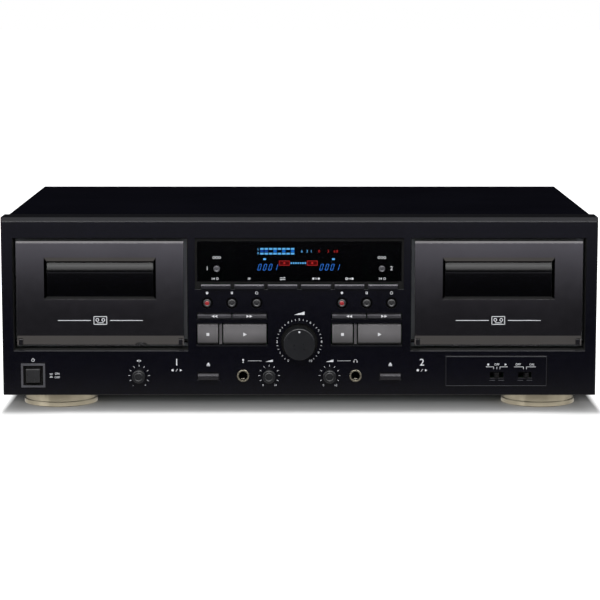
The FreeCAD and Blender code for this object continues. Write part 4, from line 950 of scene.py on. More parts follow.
def frame_strokes(width: float, height: float, line: float) -> tuple[Stroke, ...]:
    """The four lines of a rectangle.

    Args:
        width: Width from the middle of a line to the middle of the other.
        height: Height from the middle of a line to the middle of the other.
        line: Width of a line.

    Returns:
        The lines.
    """
    x, z = width / 2, height / 2
    corners = ((-x, -z), (x, -z), (x, z), (-x, z))
    return tuple(Bar(a, b, line) for a, b in zip(corners, corners[1:] + corners[:1]))


def band_point(step: int) -> Point:
    """A point on a headphone band, in steps of 30 degrees from its right end."""
    return 0.42 * math.cos(step * math.pi / 6), -0.1 + 0.5 * math.sin(step * math.pi / 6)


class Symbol(Enum):
    """The usual signs of tape machines, each drawn in a field of one by one."""

    RECORD = (Disc(0, 0, 0.4),)
    PAUSE = (Bar((-0.2, -0.4), (-0.2, 0.4), 0.22), Bar((0.2, -0.4), (0.2, 0.4), 0.22))
    MUTE = (Hoop(0, 0, 0.4, 0.14),)
    STOP = (Patch(((-0.38, -0.38), (0.38, -0.38), (0.38, 0.38), (-0.38, 0.38))),)
    PLAY = (wedge(-0.35, 0.8, 0.84),)
    REWIND = (wedge(-0.02, -0.7, 0.7), wedge(0.72, -0.7, 0.7))
    FORWARD = (wedge(0.02, 0.7, 0.7), wedge(-0.72, 0.7, 0.7))
    EJECT = (Patch(((-0.45, -0.15), (0.45, -0.15), (0, 0.45))), Bar((-0.45, -0.38), (0.45, -0.38), 0.16))
    POWER = (Hoop(0, -0.05, 0.36, 0.11), Bar((0, 0.0), (0, 0.48), 0.12))
    TO_ZERO = (Bar((-1.15, -0.36), (-1.15, 0.36), 0.16), wedge(-0.35, -0.6, 0.72), Hoop(0.5, 0, 0.32, 0.13))
    DIMMER = (Disc(0, 0, 0.2),) + tuple(
        Bar(ring_point(0, 0, 0.3, turn * math.pi / 4), ring_point(0, 0, 0.5, turn * math.pi / 4))
        for turn in range(8)
    )
    REPEAT = (
        Bar((-0.9, 0.25), (0.5, 0.25), 0.18),
        Patch(((0.4, 0.6), (0.4, 0.1), (0.95, 0.25))),
        Bar((0.9, -0.25), (-0.5, -0.25), 0.18),
        Patch(((-0.4, -0.6), (-0.4, -0.1), (-0.95, -0.25))),
    )
    PARALLEL = (Disc(-0.85, 0, 0.34), Disc(0.85, 0, 0.34)) + tuple(
        Bar((-0.3, up), (0.3, up), 0.14) for up in (0.15, -0.15)
    )
    DUB = (
        Hoop(-0.9, 0, 0.32, 0.2),
        Bar((-0.4, 0), (0.2, 0), 0.18),
        wedge(0.1, 0.45, 0.6),
        Disc(0.95, 0, 0.36),
    )
    COUNTER = (Hoop(-0.9, 0, 0.34, 0.13), Hoop(0, 0, 0.34, 0.13), Hoop(0.9, 0, 0.34, 0.13))
    RAMP = (Patch(((-1.2, -0.35), (1.2, -0.35), (1.2, 0.4))),)
    HEADPHONES = (
        Bar((-0.42, -0.1), (-0.42, -0.45), 0.2),
        Bar((0.42, -0.1), (0.42, -0.45), 0.2),
    ) + tuple(Bar(band_point(step), band_point(step + 1)) for step in range(6))
    MICROPHONE = (
        Disc(0, 0.24, 0.24),
        Bar((0, 0.1), (0, -0.45), 0.14),
        Bar((-0.25, -0.45), (0.25, -0.45), 0.1),
    )
    CASSETTE = frame_strokes(1.8, 1.1, 0.09) + (
        Hoop(-0.42, 0.08, 0.2, 0.09),
        Hoop(0.42, 0.08, 0.2, 0.09),
        Bar((-0.45, -0.34), (0.45, -0.34), 0.09),
    )
    PITCH = (wedge(0.25, 0.5, 0.6), wedge(-0.25, -0.5, 0.6), Bar((0, -0.45), (0, 0.45), 0.1))


@dataclass
class Print:
    """Marks that lie on an upright front, gathered into one thin closed mesh.

    Attributes:
        name: Name of the piece.
        front: Place in depth of the surface that carries the marks.
        thick: Thickness of the marks.
        behind: Whether the marks face back instead of forward.
    """

    name: str
    front: float
    thick: float = 0.05 * MM
    behind: bool = False
    shape: Shape = field(default_factory=bmesh.new)

    @property
    def rise(self) -> float:
        """How far the marks' outer side lies from the surface, along y."""
        return self.thick if self.behind else -self.thick

    def prism(self, outer: Sequence[Point], inner: Sequence[Point] = ()) -> None:
        """Adds a closed plate.

        Args:
            outer: Points of its outline.
            inner: Points of its hole, as many as the outline has, or none.
        """
        levels = (self.front + self.rise, self.front)
        loops = [
            [[self.shape.verts.new((x, y, z)) for x, z in loop] for y in levels]
            for loop in (outer, inner)
            if loop
        ]
        for near, far in loops:
            for a, b, c, d in zip(near, near[1:] + near[:1], far[1:] + far[:1], far):
                self.shape.faces.new((a, b, c, d))
        if not inner:
            self.shape.faces.new(loops[0][0])
            self.shape.faces.new(loops[0][1])
            return
        for level in (0, 1):
            around, within = loops[0][level], loops[1][level]
            for a, b, c, d in zip(around, around[1:] + around[:1], within[1:] + within[:1], within):
                self.shape.faces.new((a, b, c, d))

    def line(self, start: Point, end: Point, width: float) -> None:
        """Adds a straight line.

        Args:
            start: Where it starts.
            end: Where it ends.
            width: How wide it is.
        """
        a, b = Vector(start), Vector(end)
        side = (b - a).normalized().orthogonal() * width / 2
        self.prism([tuple(point) for point in (a - side, b - side, b + side, a + side)])

    def tick(self, at: Vector, radius: float, angle: float, reach: float, width: float) -> None:
        """Adds a short line that crosses a circle.

        Args:
            at: Middle of the circle.
            radius: Its radius.
            angle: Where the line crosses it, in radians.
            reach: How far the line reaches in and out from the circle.
            width: Width of the line.
        """
        near = ring_point(at.x, at.z, radius - reach, angle)
        far = ring_point(at.x, at.z, radius + reach, angle)
        self.line(near, far, width)

    def disc(self, x: float, z: float, radius: float) -> None:
        """Adds a filled circle."""
        self.prism(ring_points(x, z, radius))

    def hoop(self, x: float, z: float, radius: float, width: float) -> None:
        """Adds a circle line."""
        self.prism(ring_points(x, z, radius + width / 2), ring_points(x, z, radius - width / 2))

    def box(self, x: float, z: float, width: float, height: float, line: float) -> None:
        """Adds the four lines of a rectangle about a middle point.

        Args:
            x: Middle from left to right.
            z: Middle height.
            width: Width from the middle of a line to the middle of the other.
            height: Height from the middle of a line to the middle of the other.
            line: Width of a line.
        """

        def corners(grow: float) -> list[Point]:
            """The corners of the rectangle, grown on every side."""
            across, up = width / 2 + grow, height / 2 + grow
            return [(x - across, z - up), (x + across, z - up), (x + across, z + up), (x - across, z + up)]

        self.prism(corners(line / 2), corners(-line / 2))

    def symbol(self, symbol: Symbol, x: float, z: float, size: float) -> None:
        """Adds a sign about a middle point.

        Args:
            symbol: The sign.
            x: Middle from left to right.
            z: Middle height.
            size: Size of the field that it's drawn in.
        """
        for stroke in symbol.value:
            if isinstance(stroke, Disc):
                self.disc(x + stroke.x * size, z + stroke.z * size, stroke.radius * size)
            elif isinstance(stroke, Hoop):
                self.hoop(x + stroke.x * size, z + stroke.z * size, stroke.radius * size, stroke.line * size)
            elif isinstance(stroke, Patch):
                self.prism([(x + across * size, z + up * size) for across, up in stroke.points])
            else:
                ends = [(x + across * size, z + up * size) for across, up in (stroke.start, stroke.end)]
                self.line(*ends, stroke.line * size)

    def text(self, words: str, x: float, z: float, height: float) -> None:
        """Adds plain numbers or short switch words about a middle point.

        Args:
            words: What it says.
            x: Middle from left to right.
            z: Middle height.
            height: Height of its capitals.
        """
        curve = bpy.data.curves.new("letters", "FONT")
        curve.body = words
        curve.align_x = "CENTER"
        curve.align_y = "CENTER"
        curve.size = height * 1.4
        curve.resolution_u = 3
        curve.extrude = self.thick / 2
        holder = bpy.data.objects.new("letters", curve)
        mesh = bpy.data.meshes.new_from_object(holder)
        turned = Matrix.Rotation(math.pi if self.behind else 0, 4, "Z")
        upright = turned @ Matrix.Rotation(math.pi / 2, 4, "X")
        mesh.transform(Matrix.Translation((x, self.front + self.rise / 2, z)) @ upright)
        self.shape.from_mesh(mesh)
        bpy.data.objects.remove(holder)
        bpy.data.curves.remove(curve)
        bpy.data.meshes.remove(mesh)

    def lay(self, material: Material, body: str) -> bpy.types.Object:
        """Turns the marks into a piece on a body."""
        bmesh.ops.remove_doubles(self.shape, verts=self.shape.verts, dist=1e-7)
        return add_piece(self.name, self.shape, material, body)


def lathe(profile: Sequence[Point], centre: Vector, axis: Vector, count: int = 48) -> Shape:
    """Spins a closed profile round an axis.

    Args:
        profile: Points as radius and place along the axis.
        centre: A point on the axis.
        axis: Direction of the axis.
        count: Number of sides.

    Returns:
        The shape.
    """
    shape = bmesh.new()
    turned = axis.normalized().to_track_quat("Z", "Y").to_matrix()
    rings = []
    for step in range(count):
        angle = 2 * math.pi * step / count
        spots = [Vector((*ring_point(0, 0, radius, angle), along)) for radius, along in profile]
        rings.append([shape.verts.new(centre + turned @ spot) for spot in spots])
    for ring, following in zip(rings, rings[1:] + rings[:1]):
        for index in range(len(profile)):
            after = (index + 1) % len(profile)
            shape.faces.new((ring[index], ring[after], following[after], following[index]))
    bmesh.ops.remove_doubles(shape, verts=shape.verts, dist=1e-7)
    return shape


def block(low: Vector, high: Vector, bevel: float, segments: int = 2) -> Shape:
    """A block between two corners with rounded edges.

    Args:
        low: Its lower left front corner.
        high: Its upper right rear corner.
        bevel: How far in from an edge the rounding starts.
        segments: Number of facets along an edge.

    Returns:
        The shape.
    """
    shape = bmesh.new()
    bmesh.ops.create_cube(shape, size=1)
    size = high - low
    bmesh.ops.scale(shape, vec=size, verts=shape.verts)
    bmesh.ops.translate(shape, vec=(low + high) / 2, verts=shape.verts)
    bmesh.ops.bevel(shape, geom=shape.edges[:], offset=bevel, segments=segments, profile=0.6, affect="EDGES")
    return shape


class Finishes:
    """Every material of the deck, made once."""

    def __init__(self) -> None:
        """Makes the materials that several pieces share."""
        play = Region.of("left_play_key")
        door = Region.of("left_door")
        panel = Region.of("front_panel")
        face = panel.high.y - PANEL_DEPTH
        board = Region.of("main_board")
        control = Region.of("control_board")
        crown = Crown(panel.high.z - 6 * MM, panel.high.z - 4 * MM, 1.2 * MM)
        # Painted shade on the face: its wells behind the front, and their side walls, are painted near black.
        wells = Sunk(face + 0.6 * MM, panel.high.x - 4 * MM, panel.high.z - 6 * MM)
        self.face = Moulding(
            "face_plastic", tone(2, 2, 10), 0.2, 0.38, depth=0.003 * MM, edge=0.5 * MM, worn=1.3,
            crown=crown, sunk=wells,
        ).make()
        lugs = (abs(door.middle.x), door.size.x / 2 - 4.6 * MM)
        self.door = DoorLacquer(
            "door_lacquer", tone(128, 126, 128), door.high.z, face + 2.2 * MM, lugs, door.low.z + 4.6 * MM
        ).make()
        # Painted shade: the stop and play keys darken towards their lower edge; heights in millimetres with
        # the share of tone left.
        steps = ((0, 0.1), (2.5, 0.15), (3, 0.5), (7, 0.8), (10, 1.0))
        fade = Fade(play.low.z, tuple((height * MM, share) for height, share in steps))
        self.key = Moulding(
            "key_finish", tone(104, 102, 104), 0.4, 0.5, metallic=0.25, worn=1.3, fade=fade
        ).make()
        self.rib = Moulding("rib_finish", tone(78, 76, 78), 0.4, 0.5, metallic=0.25, worn=1.3).make()
        self.small_key = self.key_lacquer("small_key_lacquer", tone(115, 114, 118), 0.12, 1.0)
        self.wind_key = self.key_lacquer("winding_key_lacquer", tone(75, 74, 78), 0.18, 0.5)
        self.eject_key = self.key_lacquer("eject_key_lacquer", tone(100, 99, 102), 0.13, 0.95)
        self.knob = Moulding("knob_plastic", tone(17, 18, 21), 0.3, 0.6).make()
        # The knobs' rims and rings are lighter and glossier than the knob plastic: partly a painted
        # highlight, partly the lamps' gloss on their rounded shape.
        self.rim = Moulding("knob_rim_highlight_plastic", tone(26, 27, 30), 0.16, 1.0).make()
        self.button = Moulding("button_plastic", tone(32, 32, 34), 0.3, 0.6, edge=0.3 * MM, worn=1.2).make()
        self.lever = Moulding("lever_plastic", tone(10, 10, 12), 0.34, 0.4, worn=1.4).make()
        self.dome = Moulding(
            "counter_button_metal", tone(84, 84, 88), 0.26, 0.6, metallic=0.5, worn=1.2
        ).make()
        self.red = Moulding("record_lens", tone(150, 26, 32), 0.24, 0.8).make()
        self.ring = Moulding("socket_ring_red", tone(180, 30, 30), 0.3, 0.6).make()
        self.frame = Moulding("power_frame_plastic", tone(66, 66, 71), 0.4, 0.5).make()
        self.cover = Powder("cover_paint", tone(10, 10, 15), 0.7, 0.0).make()
        self.rear = Powder("rear_paint", tone(20, 20, 22), 0.6, 0.2).make()
        self.zinc = Brushed("zinc_plate", tone(176, 180, 182), Streak.BACKWARD, 0.38).make()
        self.steel = Brushed("bright_steel", tone(198, 198, 198), Streak.ACROSS, 0.24).make()
        self.glass = Pane("display_smoke", tone(2, 2, 3), 0.72, 0.05).make()
        self.window = Pane("door_smoke", tone(1, 1, 2), 0.9, 0.45).make()
        self.rubber = Rubber("foot_rubber", tone(22, 22, 22)).make()
        self.roller = Rubber("roller_rubber", tone(16, 16, 16), 0.3 * MM).make()
        green = tone(24, 70, 38)
        self.main_board = Lacquer(
            "main_board_lacquer", green, 2, board.low.z + 10 * MM, board.high.z + MM
        ).make()
        self.control_board = Lacquer(
            "control_board_lacquer", green, 1, control.low.y - MM, control.high.y - 2.2 * MM
        ).make()
        self.white_ink = InkFilm("white_ink", tone(214, 216, 220)).make()
        self.key_ink = InkFilm("key_ink", tone(205, 205, 208)).make()
        # The grey and dim inks also draw painted highlights along edges of the face; the grey one also draws
        # the knobs' notches.
        self.grey_mark_and_highlight = InkFilm("grey_mark_and_highlight", tone(66, 67, 71)).make()
        self.dim_highlight_paint = InkFilm("dim_highlight_paint", tone(36, 36, 40)).make()
        self.blue_glow = Phosphor("blue_phosphor", tone(100, 185, 245), 12.0).make()
        self.deep_glow = Phosphor("deep_phosphor", tone(16, 100, 200), 12.0).make()
        self.dark_glow = Phosphor("dark_phosphor", tone(10, 60, 150), 12.0).make()
        self.digit_glow = Phosphor("digit_phosphor", tone(60, 140, 255), 13.0).make()
        self.red_glow = Phosphor("red_phosphor", tone(225, 50, 50), 8.0).make()
        self.low_red_glow = Phosphor("low_red_phosphor", tone(150, 20, 24), 3.0).make()
        self.nickel = Brushed("nickel_plate", tone(214, 206, 190), Streak.NONE, 0.16).make()
        jacks = Region.of("front_jacks")
        self.jack = JackMetal(
            "jack_plate", tone(222, 214, 192), jacks.high.x - JACK_INSET, jacks.middle.z
        ).make()
        self.feet = FootMetal("champagne_metal", tone(205, 195, 172)).make()
        self.ivory = Moulding("ivory_plastic", tone(196, 194, 186), 0.42, 0.5).make()
        self.black = Moulding("black_plastic", tone(16, 16, 17), 0.5, 0.4).make()
        # Dull near black paint for shade: the gaps round the round buttons, the buttons' bodies and the
        # screws' cross slots.
        self.slot = Moulding("painted_shade_black", tone(3, 3, 4), 0.8, 0.05).make()

    def key_lacquer(self, name: str, colour: Colour, roughness: float, metallic: float) -> Material:
        """Makes one of the keys' metallic lacquers.

        Args:
            name: Name of the material.
            colour: Its colour.
            roughness: How dull it is.
            metallic: Share of metal flakes.

        Returns:
            The material.
        """
        return Moulding(
            name, colour, roughness, 0.5, depth=0.002 * MM, edge=0.25 * MM, metallic=metallic, worn=1.2
        ).make()


@dataclass
class Face:
    """Where the front face lies, what is printed on it, and the highlights and shade painted on it as marks.

    Attributes:
        finishes: The deck's materials.
        label_rise: From the middle of a round button up to its sign.
        label_size: Size of a sign.
        sign_rise: From the middle of the lower row up to its signs.
        thin_line: Width of a tick.
        fine_line: Width of the other lines.
        word: Height of a switch's words.
        button_ring: Radius and width of the near black ring painted as shade in the gap round a button.
        deck_sign: From the middle of the face to a deck's number.
        noise_x: Middle of the noise switch's words from left to right.
        plate_low: Lower left corner of the switches' plate.
        plate_high: Upper right corner of the switches' plate.
        slot_low: Height of the painted highlight lines under the levers.
    """

    finishes: Finishes
    label_rise: float = 7.3 * MM
    label_size: float = 2.3 * MM
    sign_rise: float = 10.9 * MM
    thin_line: float = 0.32 * MM
    fine_line: float = 0.3 * MM
    word: float = 1.6 * MM
    button_ring: Point = (3.75 * MM, 0.9 * MM)
    deck_sign: float = 89.9 * MM
    noise_x: float = 165.4 * MM
    plate_low: Point = (107.5 * MM, 21.2 * MM)
    plate_high: Point = (181.1 * MM, 42.7 * MM)
    slot_low: float = 25.2 * MM

    @property
    def front(self) -> float:
        """Place of the face in depth."""
        return Region.of("front_panel").high.y - PANEL_DEPTH

    @property
    def row(self) -> float:
        """Height of the lower row of controls."""
        return Region.of("mic_level_knob").middle.z

    def build(self) -> None:
        """Dresses the moulding, prints its marks and lays the highlights and shade painted on it."""
        dress("front_panel", self.finishes.face)
        self.print_buttons()
        self.print_level_scale()
        self.print_trimmers()
        self.print_power()
        self.print_jacks()
        self.print_decks()
        self.print_switches()
        self.edge_power_frame()
        for side in SIDES:
            self.cap_rib(side)

    def start(self, name: str) -> Print:
        """Starts a group of marks on the face."""
        return Print(name, self.front)

    def finish(self, marks: Print, ink: Material | None = None) -> None:
        """Lays marks on the front moulding, in white ink unless another material is given, such as a painted
        highlight or painted shade.
        """
        marks.lay(ink or self.finishes.white_ink, "root")

    def print_buttons(self) -> None:
        """Signs over the round buttons."""
        for side in SIDES:
            marks = self.start(f"{side}_button_signs")
            for name, symbol in zip(ROW_BUTTONS, (Symbol.PAUSE, Symbol.MUTE, Symbol.RECORD)):
                at = Region.of(f"{side}_{name}_button").middle
                marks.symbol(symbol, at.x, at.z + self.label_rise, self.label_size)
            self.finish(marks)
            # Painted shade: a near black ring over the gap round each button.
            rings = self.start(f"{side}_button_shade_rings")
            for name in ROW_BUTTONS:
                at = Region.of(f"{side}_{name}_button").middle
                rings.hoop(at.x, at.z, *self.button_ring)
            self.finish(rings, self.finishes.slot)
            self.print_recess_edge(side)

    def print_recess_edge(self, side: str, beyond: float = 0.8 * MM) -> None:
        """A painted highlight: a lighter line along the lower edge of the recess round a stop key and a play
        key.

        Args:
            side: Which deck's keys they are.
            beyond: How far the edge runs past the keys.
        """
        stop, play = Region.of(f"{side}_stop_key"), Region.of(f"{side}_play_key")
        edge = self.start(f"{side}_key_recess_highlight")
        left, right = min(stop.low.x, play.low.x) - beyond, max(stop.high.x, play.high.x) + beyond
        level = play.low.z - 0.1 * MM
        edge.line((left, level), (right, level), 0.35 * MM)
        self.finish(edge, self.finishes.dim_highlight_paint)

    def print_level_scale(self, radius: float = 16.3 * MM, sweep: float = 300, steps: int = 10) -> None:
        """Numbers and ticks round the recording level knob.

        Args:
            radius: Radius of the ring of marks.
            sweep: Angle from the first number to the last, in degrees.
            steps: Number of steps between the numbers.
        """
        at = Region.of("rec_level_knob").middle
        marks = self.start("level_scale")
        ticks = steps * 3
        for tick in range(ticks + 1):
            angle = math.radians(90 + sweep / 2 - sweep * tick / ticks)
            if tick % 3 == 0:
                marks.text(str(tick // 3), *ring_point(at.x, at.z, radius, angle), 1.8 * MM)
            else:
                marks.tick(at, radius, angle, 0.55 * MM, self.thin_line)
        marks.symbol(Symbol.RAMP, at.x, at.z + 21.1 * MM, 1.4 * self.label_size)
        self.finish(marks)

    def print_trimmers(self, radius: float = 7.25 * MM) -> None:
        """Ticks round the small knobs, with their end marks and signs.

        Args:
            radius: Radius of the ring of ticks.
        """
        ends = {"mic_level_knob": ("0", "10"), "phones_level_knob": ("0", "10"), "pitch_knob": ("-", "+")}
        signs = {"mic_level_knob": Symbol.RAMP, "phones_level_knob": Symbol.RAMP, "pitch_knob": Symbol.PITCH}
        for name, words in ends.items():
            at = Region.of(name).middle
            marks = self.start(f"{name}_scale")
            for degrees in range(-120, 121, 30):
                marks.tick(at, radius, math.radians(90 - degrees), 0.65 * MM, self.thin_line)
            for turned, word in zip((-1, 1), words):
                marks.text(word, at.x + turned * 0.62 * radius, at.z - radius, 1.5 * MM)
            marks.symbol(signs[name], at.x, at.z + self.sign_rise, self.label_size)
            self.finish(marks)

    def print_power(self) -> None:
        """The sign over the power button and its two states."""
        marks = self.start("power_signs")
        power = Region.of("power_button").middle
        marks.symbol(Symbol.POWER, power.x, power.z + 11.6 * MM, 1.2 * self.label_size)
        for up, word, lip in ((1.3 * MM, "ON", -1), (-1.4 * MM, "OFF", 1)):
            x, z = power.x + 13.2 * MM, power.z + up
            marks.text(word, x + 4.4 * MM, z, self.word)
            marks.line((x - 1.2 * MM, z), (x + 1.2 * MM, z), self.fine_line)
            marks.box(x, z + lip * 0.45 * MM, 1.2 * MM, 0.7 * MM, 0.25 * MM)
        self.finish(marks)

    def print_jacks(self) -> None:
        """The signs over the jacks, each joined by a line to its level knob's sign."""
        marks = self.start("jack_signs")
        high = self.row + self.sign_rise
        jacks = Region.of("front_jacks")
        for x, symbol, knob in (
            (jacks.low.x + JACK_INSET, Symbol.MICROPHONE, "mic_level_knob"),
            (jacks.high.x - JACK_INSET, Symbol.HEADPHONES, "phones_level_knob"),
        ):
            marks.symbol(symbol, x, high, 1.2 * self.label_size)
            end = Region.of(knob).middle.x
            turned = math.copysign(1, end - x)
            marks.line((x + turned * 3.6 * MM, high), (end - turned * 5.6 * MM, high), 0.25 * MM)
        self.finish(marks)

    def print_decks(self) -> None:
        """The decks' numbers, what each deck does, and the signs over the eject keys."""
        for side, turned, word in (("left", -1, "1"), ("right", 1, "2")):
            marks = self.start(f"{side}_deck_signs")
            x = turned * self.deck_sign
            low = self.row + 3.9 * MM
            marks.text(word, x, self.row + 9.6 * MM, 5.2 * MM)
            marks.symbol(Symbol.RECORD, x - 3.0 * MM, low, 2.1 * MM)
            marks.line((x - 0.7 * MM, low - 0.9 * MM), (x + 0.7 * MM, low + 0.9 * MM), self.fine_line)
            marks.symbol(Symbol.PLAY, x + 3.0 * MM, low, 2.1 * MM)
            key = Region.of(f"{side}_eject_key").middle
            marks.symbol(Symbol.EJECT, key.x, key.z + 9.0 * MM, 1.25 * self.label_size)
            self.finish(marks)

    def print_switches(self, plate: float = 0.4 * MM) -> None:
        """Signs of the two slide switches.

        Args:
            plate: How far their plate stands out of the face.
        """
        marks = Print("switch_signs", self.front - plate)
        timer = Region.of("timer_switch_lever").middle
        words = timer.z + 7.8 * MM
        hooks = words - 1.7 * MM
        for x, step in ((timer.x, 2.3 * MM), (self.noise_x, 1.1 * MM)):
            for turned in (-1, 1):
                inner = x + turned * step
                marks.line((inner, hooks), (inner, hooks - 1.7 * MM), self.fine_line)
                marks.line((inner, hooks), (x + turned * 8 * MM, hooks), self.fine_line)
        marks.line((timer.x, hooks), (timer.x, hooks - 1.7 * MM), self.fine_line)
        marks.text("OFF", timer.x, words, self.word)
        marks.symbol(Symbol.RECORD, timer.x - 6.4 * MM, words, 1.9 * MM)
        marks.symbol(Symbol.PLAY, timer.x + 6.4 * MM, words, 1.9 * MM)
        marks.text("OFF", self.noise_x - 5 * MM, words, self.word)
        marks.text("ON", self.noise_x + 5 * MM, words, self.word)
        self.finish(marks)
        self.edge_plate(self.front - plate, (timer.x, self.noise_x))

    def edge_plate(self, front: float, switches: Point) -> None:
        """Painted highlights: brighter lines along the edges of the switches' plate and under the slots in
        it.

        Args:
            front: Place of the plate's front in depth.
            switches: Middles of the two switches from left to right.
        """
        (left, low), (right, high) = self.plate_low, self.plate_high
        outline = Print("switch_plate_highlights", front)
        for z in (low, high):
            outline.line((left, z), (right, z), self.fine_line)
        for x in switches:
            for turned in (-1, 1):
                near, far = x + turned * 1.3 * MM, x + turned * 5.3 * MM
                outline.line((near, self.slot_low), (far, self.slot_low), 0.4 * MM)
        self.finish(outline, self.finishes.grey_mark_and_highlight)
        ends = Print("switch_plate_end_highlights", front)
        for x in (left, right):
            ends.line((x, low + 0.3 * MM), (x, high - 0.3 * MM), self.fine_line)
        self.finish(ends, self.finishes.dim_highlight_paint)

    def edge_power_frame(self) -> None:
        """The lighter rim of the frame round the power button."""
        button = Region.of("power_button").middle
        rim = Print("power_frame_rim", self.front - 0.6 * MM, 0.06 * MM)
        rim.box(button.x, button.z, 16.1 * MM, 16.1 * MM, 1.5 * MM)
        self.finish(rim, self.finishes.frame)

    def cap_rib(self, side: str) -> None:
        """The lighter front of the rib between a stop key and a play key.

        Args:
            side: Which deck's keys they are.
        """
        stop, play = Region.of(f"{side}_stop_key"), Region.of(f"{side}_play_key")
        gap = 0.85 * MM
        cap = Print(f"{side}_rib_cap", play.low.y, 0.06 * MM)
        left, right = stop.high.x + gap + 0.1 * MM, play.low.x - gap - 0.1 * MM
        collar = 1.55 * MM
        low, high = play.low.z + collar, play.high.z - collar
        cap.prism([(left, low), (right, low), (right, high), (left, high)])
        self.finish(cap, self.finishes.rib)


@dataclass
class Display:
    """The smoked window, the marks on it and the lit tube behind it.

    Attributes:
        finishes: The deck's materials.
        tube_gap: From the back of the window to the front of the tube.
        pitch: Spacing of the level bars' segments.
        dash: Length of a segment.
        meter: From the window's upper edge down to the middle of the level bars.
        spread: From that middle to a level bar.
        first: Left end of the level bars.
        sign: Size of a sign on the window.
        fields: Middles of the two red fields from left to right.
        marks: Middles of the two small blue marks from left to right.
        counters: Left ends of the two counters.
        blue_numbers: The blue level numbers, with their middles in millimetres.
        red_numbers: The red level numbers, with their middles in millimetres.
    """

    finishes: Finishes
    tube_gap: float = 2.2 * MM
    pitch: float = 3.2 * MM
    dash: float = 2.56 * MM
    meter: float = 7.75 * MM
    spread: float = 1.77 * MM
    first: float = -28.6 * MM
    sign: float = 2.3 * MM
    fields: Point = (-10.93 * MM, 9.46 * MM)
    marks: Point = (-25.36 * MM, 24.96 * MM)
    counters: Point = (-30.5 * MM, 14.8 * MM)
    blue_numbers: tuple[tuple[float, str], ...] = ((1.84, "6"), (5.7, "3"), (8.7, "1"))
    red_numbers: tuple[tuple[float, str], ...] = ((14.5, "0"), (21.1, "3"), (25.7, "6"), (27.6, "8"))

    def build(self) -> None:
        """Dresses the window and lights the tube."""
        dress("display_window", self.finishes.glass)
        self.print_window()
        self.light_meters()
        self.light_scale()
        self.light_modes()
        self.light_counters()

    @property
    def front(self) -> float:
        """Place of the tube's front in depth."""
        return Region.of("display_window").high.y + self.tube_gap - 0.03 * MM

    @property
    def level(self) -> float:
        """Height of the middle of the level bars."""
        return Region.of("display_window").high.z - self.meter

    def light(self, lit: Print, material: Material) -> None:
        """Lays lit segments on the tube."""
        lit.lay(material, "root")

    def print_window(self) -> None:
        """Signs over the small keys and beside the counter buttons."""
        window = Region.of("display_window")
        marks = Print("window_signs", window.low.y)
        signs = (Symbol.TO_ZERO, Symbol.DIMMER, Symbol.REPEAT, Symbol.PARALLEL, Symbol.DUB, Symbol.TO_ZERO)
        for node, symbol in zip(SMALL_KEYS, signs):
            marks.symbol(symbol, Region.of(node).middle.x, window.low.z + 2.2 * MM, self.sign)
        for side, turned, word in (("left", -1, "1"), ("right", 1, "2")):
            at = Region.of(f"{side}_counter_button").middle
            marks.symbol(Symbol.COUNTER, at.x, at.z + 8.0 * MM, self.sign)
            marks.text(word, at.x + turned * 7.0 * MM, at.z, 3.0 * MM)
        marks.lay(self.finishes.white_ink, "root")

    def light_meters(self, count: int = 8) -> None:
        """The two level bars, the blocks between them and their two letters.

        Args:
            count: Number of lit segments in a bar.
        """
        bars = Print("level_bars", self.front)
        for row, letter in ((1, "L"), (-1, "R")):
            z = self.level + row * self.spread
            for step in range(count):
                x = self.first + step * self.pitch
                bars.line((x, z), (x + self.dash, z), 1.3 * MM)
            bars.text(letter, self.first - 1.4 * MM, self.level + row * 1.5 * MM, 1.7 * MM)
        self.light(bars, self.finishes.blue_glow)
        for name, steps, material in (
            ("level_blocks", (3, 5, 7), self.finishes.deep_glow),
            ("level_low_blocks", (0, 1), self.finishes.dark_glow),
        ):
            blocks = Print(name, self.front)
            for step in steps:
                x = self.first + step * self.pitch
                blocks.line((x, self.level), (x + self.dash, self.level), 1.7 * MM)
            self.light(blocks, material)

    def light_scale(self) -> None:
        """The level numbers to the right of the bars, red from 0 on."""
        for name, numbers, material in (
            ("level_numbers", self.blue_numbers, self.finishes.blue_glow),
            ("level_red_numbers", self.red_numbers, self.finishes.red_glow),
        ):
            lit = Print(name, self.front)
            for x, word in numbers:
                lit.text(word, x * MM, self.level - 0.1 * MM, 2.0 * MM)
            self.light(lit, material)

    def light_modes(self) -> None:
        """The red fields of both decks, the dashes that join them, and two small marks."""
        fields = Print("recording_fields", self.front)
        rims = Print("recording_rims", self.front - 0.05 * MM)
        level = self.level - 8.7 * MM
        for middle in self.fields:
            fields.line((middle - 3.6 * MM, level), (middle + 3.6 * MM, level), 3.1 * MM)
            rims.box(middle, level, 7.4 * MM, 3.2 * MM, 0.35 * MM)
            rims.disc(middle, level, 0.75 * MM)
        self.light(fields, self.finishes.low_red_glow)
        self.light(rims, self.finishes.red_glow)
        small = Print("mode_marks", self.front)
        for step in range(7):
            x = -6.4 * MM + step * 1.7 * MM
            small.line((x, level), (x + 1.1 * MM, level), 1.2 * MM)
        above = self.level - 5.8 * MM
        for x in self.marks:
            small.line((x - MM, above), (x + MM, above), 1.3 * MM)
        self.light(small, self.finishes.blue_glow)

